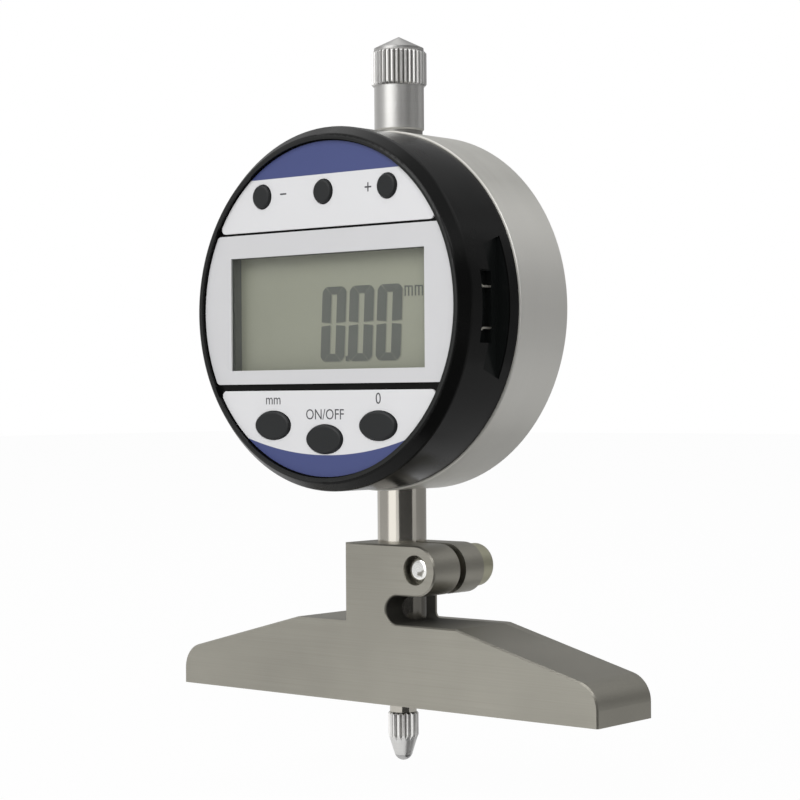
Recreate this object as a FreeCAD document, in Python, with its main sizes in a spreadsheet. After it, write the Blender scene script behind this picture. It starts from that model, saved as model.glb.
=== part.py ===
import FreeCAD, Part
import math
import os

import Sketcher
from FreeCAD import Placement, Rotation, Vector

# Digital depth gauge: a steel base bar with a pinch clamp that holds the 8 mm
# stem of a digital indicator, whose sprung spindle reaches down past the base.
# Upright frame: origin on the spindle axis at the measuring face of the base,
# X along the base, -Y towards the display, Z up. Lengths are in millimetres.
# Dial frame, for everything turned about the dial's own axis: X as above,
# Y up from the dial centre, Z forward out of the display.

os.makedirs("parts", exist_ok=True)
doc = FreeCAD.newDocument("depth_gauge")

# Driving dimensions
SIZES = [
    ("base_length", 87.2, "base bar, end to end"),
    ("base_depth", 14.4, "base bar, front to back"),
    ("base_top", 13.0, "height of the flat middle of the bar"),
    ("base_flat", 33.6, "length of that flat middle"),
    ("base_end", 5.9, "height of the sloped ends before rounding"),
    ("base_end_radius", 4.3, "rounding of the two ends"),
    ("base_edge", 0.25, "bevel along the bar's long edges"),
    ("hub_left", 6.15, "clamp block, stem axis to its plain side"),
    ("hub_top", 25.7, "top of the clamp block"),
    ("hub_back", 5.4, "stem axis to the milled back of the clamp block"),
    ("ear_reach", 8.65, "stem axis to the middle of the rounded ear"),
    ("slot_roof", 17.55, "top of the relief slot below the ear"),
    ("slot_inner", 2.5, "stem axis to the closed end of the relief slot"),
    ("slot_back_inner", 2.85, "the same in the rear half, where the slot ends square"),
    ("slot_corner", 1.0, "rounding of the corners there"),
    ("split_gap", 1.5, "saw cut that lets the clamp close"),
    ("stem_diameter", 8.0, "standard indicator stem"),
    ("stem_end", 11.0, "lower end of the stem above the measuring face"),
    ("stem_grip", 5.2, "length of stem and neck held in the case"),
    ("stem_bore", 5.4, "hole through the stem"),
    ("bush_diameter", 6.4, "outside of the spindle bushes"),
    ("bush_length", 6.0, "length of each spindle bush"),
    ("running_gap", 0.04, "radial play of a sliding or turning fit"),
    ("seat_gap", 0.01, "radial play of a fixed seat"),
    ("screw_height", 21.8, "clamp screw above the measuring face"),
    ("screw_diameter", 4.0, "clamp screw thread"),
    ("screw_length", 11.8, "clamp screw below its head"),
    ("screw_head_diameter", 7.0, "clamp screw head"),
    ("screw_head_length", 3.8, "clamp screw head, along the axis"),
    ("screw_head_rounding", 1.0, "rounded rear edge of that head"),
    ("screw_tip", 0.4, "bevel of the screw's free end"),
    ("screw_point", 0.9, "rounding between that bevel and the flat end"),
    ("screw_clearance", 0.12, "radial play of the screw behind the saw cut"),
    ("screw_socket", 3.0, "hexagon socket across flats"),
    ("screw_socket_depth", 2.2, "hexagon socket depth"),
    ("counterbore_diameter", 4.8, "recess round the screw's free end"),
    ("counterbore_depth", 1.9, "depth of that recess"),
    ("spindle_diameter", 4.4, "measuring spindle"),
    ("tail_drop", 1.4, "spindle's top end below the cap's rim, spindle down"),
    ("spindle_travel", 12.7, "measuring range"),
    ("contact_top", -1.95, "shoulder of the contact point, spindle down"),
    ("contact_diameter", 5.0, "fluted grip of the contact point"),
    ("contact_grip", 4.1, "length of that grip"),
    ("contact_stud", 1.25, "radius of the contact point's thread"),
    ("contact_stud_length", 4.0, "length of that thread"),
    ("stud_room", 0.2, "room in the spindle past the end of that thread"),
    ("ball_diameter", 3.0, "measuring ball"),
    ("ball_centre", -8.45, "height of the ball's centre, spindle down"),
    ("ball_lip", 0.5, "edge of the ball's cup below the ball's centre"),
    ("flute_share", 1.6, "width of a flute at its mouth, in parts of the flutes' pitch"),
    ("flute_count", 18.0, "flutes round the contact point"),
    ("flute_depth", 0.34, "depth of those flutes"),
    ("dial_height", 63.1, "dial centre above the measuring face"),
    ("case_diameter", 57.9, "steel case"),
    ("case_front", 5.9, "front face of the case before the stem axis"),
    ("case_back", 6.6, "back face of the case behind the stem axis"),
    ("case_wall", 2.5, "side wall of the case"),
    ("case_web", 1.5, "front web of the case"),
    ("case_edge", 0.35, "bevel on the back rim of the case"),
    ("case_front_edge", 0.25, "bevel on its front rim"),
    ("boss_width", 13.0, "block inside the case round the stem seat"),
    ("cover_land", 1.6, "rim of the case left round the back cover"),
    ("cover_thickness", 1.6, "back cover"),
    ("cover_screw_inset", 5.0, "back cover's screws, in from its edge"),
    ("small_screw", 2.0, "thread of the small screws"),
    ("small_screw_head", 3.8, "head of the small screws"),
    ("small_screw_head_length", 0.9, "length of that head"),
    ("small_screw_slot", 0.6, "width of its slot"),
    ("small_screw_length", 4.0, "small screws below the head"),
    ("head_play", 0.08, "radial play round a screw head let into the cover"),
    ("post_radius", 1.9, "radius of the posts for the housing screws"),
    ("board_post_radius", 1.5, "radius of the posts for the board screws"),
    ("bezel_step", 0.3, "black front housing, in from the case's surface"),
    ("bezel_shoulder", 17.4, "where the housing's front bevel starts"),
    ("bezel_front", 19.2, "front of the raised rim"),
    ("bevel_width", 1.4, "front bevel of the housing"),
    ("rim_width", 0.75, "raised rim inside the bevel"),
    ("bezel_wall", 2.3, "front wall behind the panels"),
    ("rim_rounding", 0.8, "rounding of the housing's bevel at both its edges"),
    ("bezel_side", 3.2, "side wall of the housing"),
    ("panel_face", 18.55, "front face of the three panels"),
    ("panel_thickness", 0.3, "printed panels"),
    ("panel_play", 0.2, "gap between the panels and the rim"),
    ("panel_corner", 0.8, "rounding of the panels' corners"),
    ("lens_thickness", 0.8, "clear window"),
    ("lens_ledge", 1.0, "clear window past its opening, all round"),
    ("lcd_margin", 1.0, "display glass past the window, above and below"),
    ("lcd_thickness", 2.0, "display glass"),
    ("lcd_play", 0.3, "play round the display glass in the housing"),
    ("board_play", 1.0, "gap round the main board"),
    ("board_front", 12.2, "front of the main board before the stem axis"),
    ("board_thickness", 1.0, "main circuit board"),
    ("key_rise", 0.5, "keys above the panel"),
    ("key_rounding", 0.4, "rounded edge of the keys"),
    ("key_travel", 0.4, "stroke of a key"),
    ("key_gap", 0.12, "play round a key in its hole"),
    ("key_flange", 0.6, "flange that keeps a key in, width and thickness"),
    ("dome_radius", 1.4, "rubber dome under each key"),
    ("pad_thickness", 0.8, "rubber sheet that joins the domes"),
    ("port_back", 8.1, "side recess, rear edge before the stem axis"),
    ("port_front", 12.75, "side recess, front edge"),
    ("port_drop", 0.35, "middle of the side recess below the dial centre"),
    ("port_half_back", 10.95, "half height of the recess at its rear edge"),
    ("port_half_front", 9.4, "half height of the recess at its front edge"),
    ("port_depth", 2.6, "depth of the recess below the rim's surface"),
    ("notch_front", 14.9, "front edge of the notch in the recess"),
    ("notch_back", 9.45, "rear edge of the notch"),
    ("notch_half", 5.5, "half height of the notch"),
    ("notch_depth", 3.8, "depth of the notch below the rim's surface"),
    ("port_wall", 2.9, "wall behind the recess"),
    ("clip_height", 3.3, "contact clips above and below the middle of the recess"),
    ("clip_thickness", 0.3, "spring strip of the contact clips"),
    ("cell_diameter", 20.0, "coin cell"),
    ("cell_thickness", 3.2, "coin cell"),
    ("cell_clear", 1.58, "room between the cell holder and the wall behind the recess"),
    ("holder_wall", 0.9, "wall of the cell holder"),
    ("holder_floor", 0.3, "floor of the cell holder"),
    ("scale_width", 10.0, "scale strip on the carrier"),
    ("carrier_stop", 3.4, "room above the carrier with the spindle fully in"),
    ("scale_thickness", 0.5, "scale strip on the carrier"),
    ("scale_air", 0.3, "air between the scale and the sensor"),
    ("carrier_play", 0.3, "room below the carrier, spindle down"),
    ("carrier_block", 8.0, "height of the carrier's clamping block"),
    ("carrier_plate", 0.7, "thickness of the carrier's plate"),
    ("sensor_width", 14.0, "sensor electrodes"),
    ("sensor_height", 24.0, "sensor electrodes"),
    ("sensor_ledge", 1.0, "sensor's board past its electrodes, all round"),
    ("rail_x", 9.5, "guide rod, sideways from the spindle"),
    ("rail_diameter", 2.5, "guide rod"),
    ("rail_seat", 1.2, "how far the guide rod enters the case wall"),
    ("spring_wire", 0.35, "return spring wire"),
    ("spring_radius", 2.52, "middle radius of the return spring"),
    ("spring_turns", 11.0, "turns of the return spring"),
    ("neck_diameter", 7.6, "neck below the dust cap"),
    ("neck_spigot", 6.6, "threaded part inside the dust cap"),
    ("neck_show", 0.5, "neck seen between case and dust cap"),
    ("cap_diameter", 8.1, "plain part of the dust cap"),
    ("cap_plain", 7.3, "length of that plain part"),
    ("cap_grip", 5.8, "length of the cap's fluted grip"),
    ("cap_grip_diameter", 9.05, "fluted grip of the dust cap"),
    ("cap_collar", 0.4, "plain collar above the grip"),
    ("cap_cone", 1.95, "height of the cap's cone"),
    ("cap_thread_depth", 4.8, "threaded socket of the cap"),
    ("neck_room", 0.2, "room between the neck's end and the floor of that socket"),
    ("cap_bore", 5.2, "room for the spindle inside the cap"),
    ("tail_room", 0.9, "room above the spindle's tail, spindle fully in"),
    ("cap_flute_count", 36.0, "flutes round the grip"),
    ("cap_flute_depth", 0.36, "depth of those flutes"),
]

# Layout of the front, drawn for panels of the first radius; it grows and
# shrinks with the real one
FACE_SIZES = [
    ("face_reference", 26.3, "radius of the panels that this layout is drawn for"),
    ("top_panel_edge", 12.82, "lower edge of the top panel"),
    ("middle_panel_top", 12.44, "upper edge of the window panel"),
    ("middle_panel_bottom", 11.68, "lower edge of the window panel, downwards"),
    ("bottom_panel_edge", 12.74, "upper edge of the bottom panel, downwards"),
    ("window_width", 40.8, "display window"),
    ("window_top", 8.75, "display window above the dial centre"),
    ("window_bottom", 9.45, "display window below the dial centre"),
    ("lcd_width", 43.6, "display glass"),
    ("housing_screw_y", 13.5, "screws that join case and housing, above and below the dial centre"),
    ("board_screw_x", 6.2, "board screws, sideways"),
    ("board_screw_top", 15.2, "upper board screws above the dial centre"),
    ("board_screw_bottom", 14.0, "lower board screws below the dial centre"),
    ("round_key", 3.8, "upper round keys"),
    ("round_key_x", 13.2, "outer round keys, sideways"),
    ("round_key_y", 18.4, "round keys above the dial centre"),
    ("oval_key_width", 7.5, "lower oval keys"),
    ("oval_key_height", 4.5, "lower oval keys"),
    ("oval_key_x", 11.1, "outer oval keys, sideways"),
    ("oval_key_y", 18.25, "outer oval keys below the dial centre"),
    ("oval_key_middle_y", 20.4, "middle oval key below the dial centre"),
]


class Size:
    """A length that carries its number and the sheet formula behind it."""

    def __init__(self, number, formula):
        self.number = number
        self.formula = formula

    def combine(self, other, sign, number):
        return Size(number, f"({self.formula} {sign} {formula_of(other)})")

    def __add__(self, other):
        return self.combine(other, "+", self.number + number_of(other))

    def __sub__(self, other):
        return self.combine(other, "-", self.number - number_of(other))

    def __mul__(self, other):
        return self.combine(other, "*", self.number * number_of(other))

    def __truediv__(self, other):
        return self.combine(other, "/", self.number / number_of(other))

    def __neg__(self):
        return Size(-self.number, f"(0 - {self.formula})")


def number_of(size):
    return size.number if isinstance(size, Size) else float(size)


def formula_of(size):
    return size.formula if isinstance(size, Size) else str(size)


def root(size):
    """Square root, as a number and as a sheet formula."""
    return Size(math.sqrt(size.number), f"sqrt({size.formula})")


def make_sheet():
    """The sheet of driving dimensions, and a Size for each of its rows."""
    sheet = doc.addObject("Spreadsheet::Sheet", "Sizes")
    rows = {}
    for row, (alias, number, note) in enumerate(SIZES + FACE_SIZES, start=1):
        sheet.set(f"A{row}", note)
        sheet.set(f"B{row}", str(number))
        sheet.setAlias(f"B{row}", alias)
        rows[alias] = Size(number, f"Sizes.{alias}")
    doc.recompute()
    return rows


dim = make_sheet()

# Sizes worked out from the driving ones
EAR_RADIUS = (dim["hub_top"] - dim["slot_roof"]) / 2
EAR_HEIGHT = (dim["hub_top"] + dim["slot_roof"]) / 2
SLOT_HEIGHT = (dim["slot_roof"] + dim["base_top"]) / 2
SLOT_RADIUS = (dim["slot_roof"] - dim["base_top"]) / 2
STEM_RADIUS = dim["stem_diameter"] / 2
SPINDLE_RADIUS = dim["spindle_diameter"] / 2
BUSH_RADIUS = dim["bush_diameter"] / 2
CASE_RADIUS = dim["case_diameter"] / 2
CASE_BORE = CASE_RADIUS - dim["case_wall"]
COVER_RADIUS = CASE_RADIUS - dim["cover_land"]
BEZEL_RADIUS = CASE_RADIUS - dim["bezel_step"]
BEZEL_BORE = BEZEL_RADIUS - dim["bezel_side"]
RIM_OUTER = BEZEL_RADIUS - dim["bevel_width"]
RIM_INNER = RIM_OUTER - dim["rim_width"]
PANEL_RADIUS = RIM_INNER - dim["panel_play"]
PORT_INNER = BEZEL_RADIUS - dim["notch_depth"] - dim["port_wall"]
BOARD_RADIUS = BEZEL_BORE - dim["board_play"]
CELL_OUTER = dim["cell_diameter"] / 2 + dim["key_gap"] + dim["holder_wall"]
CELL_X = PORT_INNER - dim["cell_clear"] - CELL_OUTER
SEAT_LEVEL = CASE_RADIUS - dim["stem_grip"]
STEM_TOP = dim["dial_height"] - SEAT_LEVEL
NECK_BOTTOM = dim["dial_height"] + SEAT_LEVEL
CAP_BOTTOM = dim["dial_height"] + CASE_RADIUS + dim["neck_show"]
SPINDLE_TAIL = CAP_BOTTOM - dim["tail_drop"]
WEB_BACK = dim["case_front"] - dim["case_web"]
COVER_FRONT = dim["cover_thickness"] - dim["case_back"]
PANEL_BACK = dim["panel_face"] - dim["panel_thickness"]
WALL_BACK = PANEL_BACK - dim["bezel_wall"]
LCD_BACK = WALL_BACK - dim["lcd_thickness"]
BOARD_BACK = dim["board_front"] - dim["board_thickness"]
SCALE_FACE = WEB_BACK - dim["scale_air"]
SCALE_BACK = SCALE_FACE - dim["scale_thickness"]
PLATE_BACK = SCALE_BACK - dim["carrier_plate"]
CARRIER_BOTTOM = STEM_TOP + dim["carrier_play"]
CARRIER_TOP = NECK_BOTTOM - dim["spindle_travel"] - dim["carrier_stop"]
SCALE_BOTTOM = CARRIER_BOTTOM + dim["carrier_plate"]
SCALE_TOP = CARRIER_TOP - dim["carrier_plate"]
BLOCK_TOP = CARRIER_BOTTOM + dim["carrier_block"]
DRILL_RADIUS = dim["small_screw"] / 2

for face_alias, *_ in FACE_SIZES[1:]:
    dim[face_alias] = dim[face_alias] * PANEL_RADIUS / dim["face_reference"]

nodes = {}


def place(item, keep, x=0, y=0, z=0, turn=None):
    """Give an object its Placement, each offset bound to the sheet."""
    item.Placement = Placement(Vector(number_of(x), number_of(y), number_of(z)), turn or Rotation())
    for axis, offset in zip("xyz", (x, y, z)):
        if isinstance(offset, Size):
            item.setExpression(f"Placement.Base.{axis}", offset.formula)
    if keep:
        nodes[item.Label] = item
    return item


FACE_FORWARD = Rotation(Vector(1, 0, 0), 90)


def to_dial(item):
    """Stand a piece of the dial frame up at the dial centre."""
    place(item, True, z=dim["dial_height"], turn=FACE_FORWARD)


def upright(item):
    """A piece modelled in the upright frame stays where it is."""
    place(item, True)


def new_body(name):
    body = doc.addObject("PartDesign::Body", name)
    body.Label = name
    return body


def new_sketch(body, plane, name, offset=0):
    """A sketch on one of the body's own origin planes, at a bound offset."""
    sketch = body.newObject("Sketcher::SketchObject", f"{body.Name}_{name}")
    support = [o for o in body.Origin.OriginFeatures if o.Role == f"{plane}_Plane"][0]
    sketch.AttachmentSupport = [(support, "")]
    sketch.MapMode = "FlatFace"
    sketch.AttachmentOffset = Placement(Vector(0, 0, number_of(offset)), Rotation())
    if isinstance(offset, Size):
        sketch.setExpression("AttachmentOffset.Base.z", offset.formula)
    return sketch


def fix(sketch, kind, *where, value):
    """Add one dimension and bind it to the sheet."""
    index = sketch.addConstraint(Sketcher.Constraint(kind, *where, number_of(value)))
    if isinstance(value, Size):
        sketch.setExpression(f"Constraints[{index}]", value.formula)


def fix_point(sketch, edge, end, point):
    """Hold a point at its two coordinates; a plain zero puts it on the axis."""
    for kind, axis_line, value in (("DistanceX", -2, point[0]), ("DistanceY", -1, point[1])):
        if number_of(value) == 0 and not isinstance(value, Size):
            sketch.addConstraint(Sketcher.Constraint("PointOnObject", edge, end, axis_line))
        else:
            fix(sketch, kind, edge, end, value=value)


def vector(point):
    return Vector(number_of(point[0]), number_of(point[1]), 0)


def outline(sketch, *corners):
    """A closed line through the corners. A third entry in a corner is the
    centre of an anticlockwise arc that runs from it to the next corner."""
    first = sketch.GeometryCount
    starts = []
    ends = []
    for index, corner in enumerate(corners):
        after = corners[(index + 1) % len(corners)]
        edge = first + index
        if len(corner) == 2:
            sketch.addGeometry(Part.LineSegment(vector(corner), vector(after)))
        else:
            middle = vector(corner[2])
            start = vector(corner) - middle
            stop = vector(after) - middle
            circle = Part.Circle(middle, Vector(0, 0, 1), start.Length)
            angles = [math.atan2(v.y, v.x) for v in (start, stop)]
            sketch.addGeometry(Part.ArcOfCircle(circle, *angles))
        starts.append((edge, 1))
        ends.append((edge, 2))
    for index, corner in enumerate(corners):
        sketch.addConstraint(Sketcher.Constraint("Coincident", *ends[index - 1], *starts[index]))
        fix_point(sketch, *starts[index], corner)
        if len(corner) == 3:
            # the ends fix the centre across the chord, so one offset is left
            chord = vector(corners[(index + 1) % len(corners)]) - vector(corner)
            along_x = abs(chord.x) < abs(chord.y)
            kind = "DistanceX" if along_x else "DistanceY"
            fix(sketch, kind, first + index, 3, value=corner[2][0 if along_x else 1])


def ring(sketch, centre, radius):
    """A full circle."""
    edge = sketch.addGeometry(Part.Circle(vector(centre), Vector(0, 0, 1), number_of(radius)))
    fix_point(sketch, edge, 3, centre)
    fix(sketch, "Radius", edge, value=radius)


def oval(sketch, centre, width, height):
    """A full ellipse, wider than it is high."""
    middle = vector(centre)
    ellipse = Part.Ellipse(middle, number_of(width) / 2, number_of(height) / 2)
    edge = sketch.addGeometry(ellipse)
    sketch.exposeInternalGeometry(edge)
    sketch.addConstraint(Sketcher.Constraint("Horizontal", edge + 1))
    fix(sketch, "Distance", edge + 1, value=width)
    fix(sketch, "Distance", edge + 2, value=height)
    fix_point(sketch, edge, 3, centre)


def box_outline(sketch, left, right, bottom, top):
    """A closed rectangle."""
    outline(sketch, (left, bottom), (right, bottom), (right, top), (left, top))


def feature(body, kind, name, sketch):
    """A feature that starts from a sketch."""
    item = body.newObject(f"PartDesign::{kind}", f"{body.Name}_{name}")
    item.Profile = sketch
    return item


def check_change(body, before, grows):
    """Stop if a feature left the solid as it was."""
    after = body.Shape.Volume
    if (after > before) != grows or abs(after - before) < 1e-6:
        raise RuntimeError(f"{body.Label}: {body.Tip.Name} changed nothing")


def pad(body, sketch, length, both_sides=False):
    """Material added along the sketch's normal."""
    before = body.Shape.Volume if body.Tip else 0
    item = feature(body, "Pad", sketch.Label + "_pad", sketch)
    item.Length = number_of(length)
    if isinstance(length, Size):
        item.setExpression("Length", length.formula)
    item.Midplane = both_sides
    doc.recompute()
    check_change(body, before, True)


def cut(body, sketch, length=None, both_sides=False, forwards=False, may_miss=False):
    """Material removed: against the sketch's normal unless forwards, and all
    the way through unless a length is given. A cut that gives a neighbour
    room may miss the body where that neighbour is small."""
    before = body.Shape.Volume
    item = feature(body, "Pocket", sketch.Label + "_cut", sketch)
    if length is None:
        item.Type = "ThroughAll"
    else:
        item.Length = number_of(length)
        if isinstance(length, Size):
            item.setExpression("Length", length.formula)
    item.Midplane = both_sides
    item.Reversed = forwards
    doc.recompute()
    if not may_miss:
        check_change(body, before, False)
    return item


def turn_profile(body, *corners):
    """A solid of revolution about the body's Z axis from (radius, height)
    corners."""
    sketch = new_sketch(body, "XZ", "profile")
    outline(sketch, *corners)
    item = feature(body, "Revolution", "turn", sketch)
    item.ReferenceAxis = (sketch, ["V_Axis"])
    item.Angle = 360
    doc.recompute()


def turned(name, *corners):
    """A new body with such a solid of revolution."""
    body = new_body(name)
    turn_profile(body, *corners)
    return body


def repeat_round(body, base, count):
    """Copies of a feature spread evenly round the body's Z axis."""
    before = body.Shape.Volume
    item = body.newObject("PartDesign::PolarPattern", f"{base.Name}_round")
    item.Originals = [base]
    axis = [o for o in body.Origin.OriginFeatures if o.Role == "Z_Axis"][0]
    item.Axis = (axis, [""])
    item.Angle = 360
    item.Occurrences = int(round(number_of(count)))
    if isinstance(count, Size):
        item.setExpression("Occurrences", count.formula)
    body.Tip = item
    doc.recompute()
    if abs(body.Shape.Volume - before) < 1e-6:
        raise RuntimeError(f"{body.Label}: pattern changed nothing")


def edges_where(body, test):
    """Names of the edges that pass the test."""
    names = [f"Edge{i}" for i, edge in enumerate(body.Shape.Edges, start=1) if test(edge)]
    if not names:
        raise RuntimeError(f"{body.Label}: no edge found to dress")
    return names


def dress(body, kind, size, test):
    """A Fillet or a Chamfer on the edges that pass the test."""
    names = edges_where(body, test)
    base = body.Tip
    item = body.newObject(f"PartDesign::{kind}", f"{body.Name}_{kind}")
    item.Base = (base, names)
    prop = "Radius" if kind == "Fillet" else "Size"
    setattr(item, prop, number_of(size))
    if isinstance(size, Size):
        item.setExpression(prop, size.formula)
    doc.recompute()


def near(value, size, slack=1e-4):
    return abs(value - number_of(size)) < slack


def edge_along(edge, axis):
    """True for a straight edge that runs along the axis."""
    if not isinstance(edge.Curve, Part.Line):
        return False
    return abs(abs(edge.Curve.Direction.dot(axis)) - 1) < 1e-6


def circle_at(edge, radius, height):
    """True for a full circle round Z at that radius and height."""
    if not isinstance(edge.Curve, Part.Circle) or len(edge.Vertexes) > 1:
        return False
    centre = edge.Curve.Center
    on_axis = near(centre.x, 0) and near(centre.y, 0)
    return on_axis and near(edge.Curve.Radius, radius) and near(centre.z, height)


Y_AXIS = Vector(0, 1, 0)
Z_AXIS = Vector(0, 0, 1)
MARGIN = 2.0


def depth_base():
    """Base bar and clamp block, milled from one piece of steel: sloped wings,
    relief slot that ends round in front of the bore and square behind it,
    rounded ear, saw cut and screw hole."""
    body = new_body("depth_base")
    half = dim["base_length"] / 2
    knee = dim["base_flat"] / 2
    profile = new_sketch(body, "XZ", "profile")
    ear_axis = (dim["ear_reach"], EAR_HEIGHT)
    slot_axis = (dim["slot_inner"] + SLOT_RADIUS, SLOT_HEIGHT)
    outline(
        profile,
        (-half, 0),
        (half, 0),
        (half, dim["base_end"]),
        (knee, dim["base_top"]),
        (slot_axis[0], dim["base_top"]),
        (slot_axis[0], dim["slot_roof"]),
        (dim["ear_reach"], dim["slot_roof"], ear_axis),
        (dim["ear_reach"], dim["hub_top"]),
        (-dim["hub_left"], dim["hub_top"]),
        (-dim["hub_left"], dim["base_top"]),
        (-knee, dim["base_top"]),
        (-half, dim["base_end"]),
    )
    pad(body, profile, dim["base_depth"], both_sides=True)

    round_end = new_sketch(body, "XZ", "slot_round_end")
    ring(round_end, slot_axis, SLOT_RADIUS)
    cut(body, round_end, forwards=True)
    wall = dim["slot_back_inner"]
    turn = wall + dim["slot_corner"]
    low = dim["base_top"] + dim["slot_corner"]
    high = dim["slot_roof"] - dim["slot_corner"]
    square_end = new_sketch(body, "XZ", "slot_square_end")
    outline(
        square_end,
        (slot_axis[0], dim["base_top"]),
        (slot_axis[0], dim["slot_roof"]),
        (turn, dim["slot_roof"], (turn, high)),
        (wall, high),
        (wall, low, (turn, low)),
        (turn, dim["base_top"]),
    )
    cut(body, square_end)

    dress(body, "Fillet", dim["base_end_radius"],
          lambda e: edge_along(e, Y_AXIS) and near(e.CenterOfMass.z, dim["base_end"]))

    back = dim["base_depth"] / 2
    relief = new_sketch(body, "YZ", "relief")
    box_outline(relief, dim["hub_back"], back + MARGIN, dim["base_top"], dim["hub_top"] + MARGIN)
    cut(body, relief, both_sides=True)

    dress(body, "Chamfer", dim["base_edge"],
          lambda e: near(abs(e.CenterOfMass.y), back) and not near(e.CenterOfMass.z, 0)
          and not near(e.CenterOfMass.z, dim["base_top"]))

    bore = new_sketch(body, "XY", "bore")
    ring(bore, (0, 0), STEM_RADIUS + dim["running_gap"] / 2)
    cut(body, bore, both_sides=True)

    split = new_sketch(body, "XY", "split", offset=SLOT_HEIGHT)
    box_outline(split, 0, dim["ear_reach"] + EAR_RADIUS + MARGIN, -dim["split_gap"] / 2, dim["split_gap"] / 2)
    cut(body, split, forwards=True)

    screw = (dim["ear_reach"], dim["screw_height"])
    tapped = new_sketch(body, "XZ", "tapped_hole")
    ring(tapped, screw, dim["screw_diameter"] / 2)
    cut(body, tapped, forwards=True)
    clearance = new_sketch(body, "XZ", "clearance_hole")
    ring(clearance, screw, dim["screw_diameter"] / 2 + dim["screw_clearance"])
    cut(body, clearance)
    counterbore = new_sketch(body, "XZ", "counterbore", offset=dim["base_depth"] / 2)
    ring(counterbore, screw, dim["counterbore_diameter"] / 2)
    cut(body, counterbore, dim["counterbore_depth"])
    upright(body)


def clamp_screw():
    """Socket head screw that closes the clamp from behind."""
    seat = -dim["hub_back"]
    back = seat - dim["screw_head_length"]
    end = seat + dim["screw_length"]
    head = dim["screw_head_diameter"] / 2
    shank = dim["screw_diameter"] / 2 - dim["running_gap"]
    tip = dim["screw_tip"]
    body = turned(
        "clamp_screw",
        (0, back),
        (head, back),
        (head, seat),
        (shank, seat),
        (shank, end - tip),
        (shank - tip, end),
        (0, end),
    )
    dress(body, "Fillet", dim["screw_head_rounding"], lambda e: circle_at(e, head, back))
    dress(body, "Fillet", dim["screw_point"], lambda e: circle_at(e, shank - tip, end))
    socket = new_sketch(body, "XY", "socket", offset=back)
    flat = dim["screw_socket"] / 2
    corner = dim["screw_socket"] / math.sqrt(3)
    outline(
        socket,
        (corner, 0),
        (corner / 2, flat),
        (-corner / 2, flat),
        (-corner, 0),
        (-corner / 2, -flat),
        (corner / 2, -flat),
    )
    cut(body, socket, dim["screw_socket_depth"], forwards=True)
    place(body, True, x=dim["ear_reach"], z=dim["screw_height"], turn=FACE_FORWARD)


def stem():
    """The 8 mm stem, a tube with a seat for a bush at each end."""
    bore = dim["stem_bore"] / 2
    low = dim["stem_end"] + dim["bush_length"]
    high = STEM_TOP - dim["bush_length"]
    body = turned(
        "stem",
        (BUSH_RADIUS, dim["stem_end"]),
        (STEM_RADIUS, dim["stem_end"]),
        (STEM_RADIUS, STEM_TOP),
        (BUSH_RADIUS, STEM_TOP),
        (BUSH_RADIUS, high),
        (bore, high),
        (bore, low),
        (BUSH_RADIUS, low),
    )
    dress(body, "Chamfer", dim["case_edge"], lambda e: circle_at(e, STEM_RADIUS, dim["stem_end"]))
    upright(body)


def bush(name, bottom):
    """Plain bearing that guides the spindle."""
    inner = SPINDLE_RADIUS + dim["running_gap"]
    outer = BUSH_RADIUS - dim["seat_gap"]
    top = bottom + dim["bush_length"]
    upright(turned(name, (inner, bottom), (outer, bottom), (outer, top), (inner, top)))


def spindle():
    """Measuring spindle, from the contact point's seat to its tail in the cap."""
    foot = dim["contact_top"]
    tail = SPINDLE_TAIL
    hole = dim["contact_stud"] + dim["seat_gap"]
    depth = foot + dim["contact_stud_length"] + dim["stud_room"]
    body = turned(
        "spindle",
        (hole, foot),
        (SPINDLE_RADIUS, foot),
        (SPINDLE_RADIUS, tail),
        (0, tail),
        (0, depth),
        (hole, depth),
    )
    dress(body, "Chamfer", dim["case_edge"], lambda e: circle_at(e, SPINDLE_RADIUS, tail))
    upright(body)


def contact_point():
    """Screw-in contact point: fluted grip, tapered nose, cup for the ball."""
    grip = dim["contact_diameter"] / 2
    shoulder = dim["contact_top"]
    nose = shoulder - dim["contact_grip"]
    ball = dim["ball_diameter"] / 2
    centre = dim["ball_centre"]
    lip_height = centre - dim["ball_lip"]
    lip = root(ball * ball - dim["ball_lip"] * dim["ball_lip"])
    stud_top = shoulder + dim["contact_stud_length"]
    body = turned(
        "contact_point",
        (lip, lip_height, (0, centre)),
        (0, centre + ball),
        (0, stud_top),
        (dim["contact_stud"], stud_top),
        (dim["contact_stud"], shoulder),
        (grip - dim["flute_depth"], shoulder),
        (grip, shoulder - dim["flute_depth"]),
        (grip, nose + dim["flute_depth"]),
        (grip - dim["flute_depth"] / 2, nose),
        (lip + dim["seat_gap"], lip_height),
    )
    flutes(body, grip, dim["flute_depth"], dim["flute_count"], nose - MARGIN / 2, shoulder)
    upright(body)


def flutes(body, radius, depth, count, bottom, top):
    """Straight V grooves round a grip, one cut and then repeated."""
    half_width = radius * math.pi / count * dim["flute_share"]
    sketch = new_sketch(body, "XY", "flute", offset=bottom)
    outline(
        sketch,
        (radius - depth, 0),
        (radius + depth, -half_width),
        (radius + depth, half_width),
    )
    groove = cut(body, sketch, top - bottom, forwards=True)
    repeat_round(body, groove, count)


def contact_ball():
    """Hard ball that touches the work."""
    ball = doc.addObject("Part::Sphere", "contact_ball")
    ball.Label = "contact_ball"
    ball.Radius = dim["ball_diameter"].number / 2
    ball.setExpression("Radius", (dim["ball_diameter"] / 2).formula)
    place(ball, True, z=dim["ball_centre"])


def bind(item, **sizes):
    """Set properties and bind each one to the sheet."""
    for prop, value in sizes.items():
        setattr(item, prop, number_of(value))
        if isinstance(value, Size):
            item.setExpression(prop, value.formula)


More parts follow.
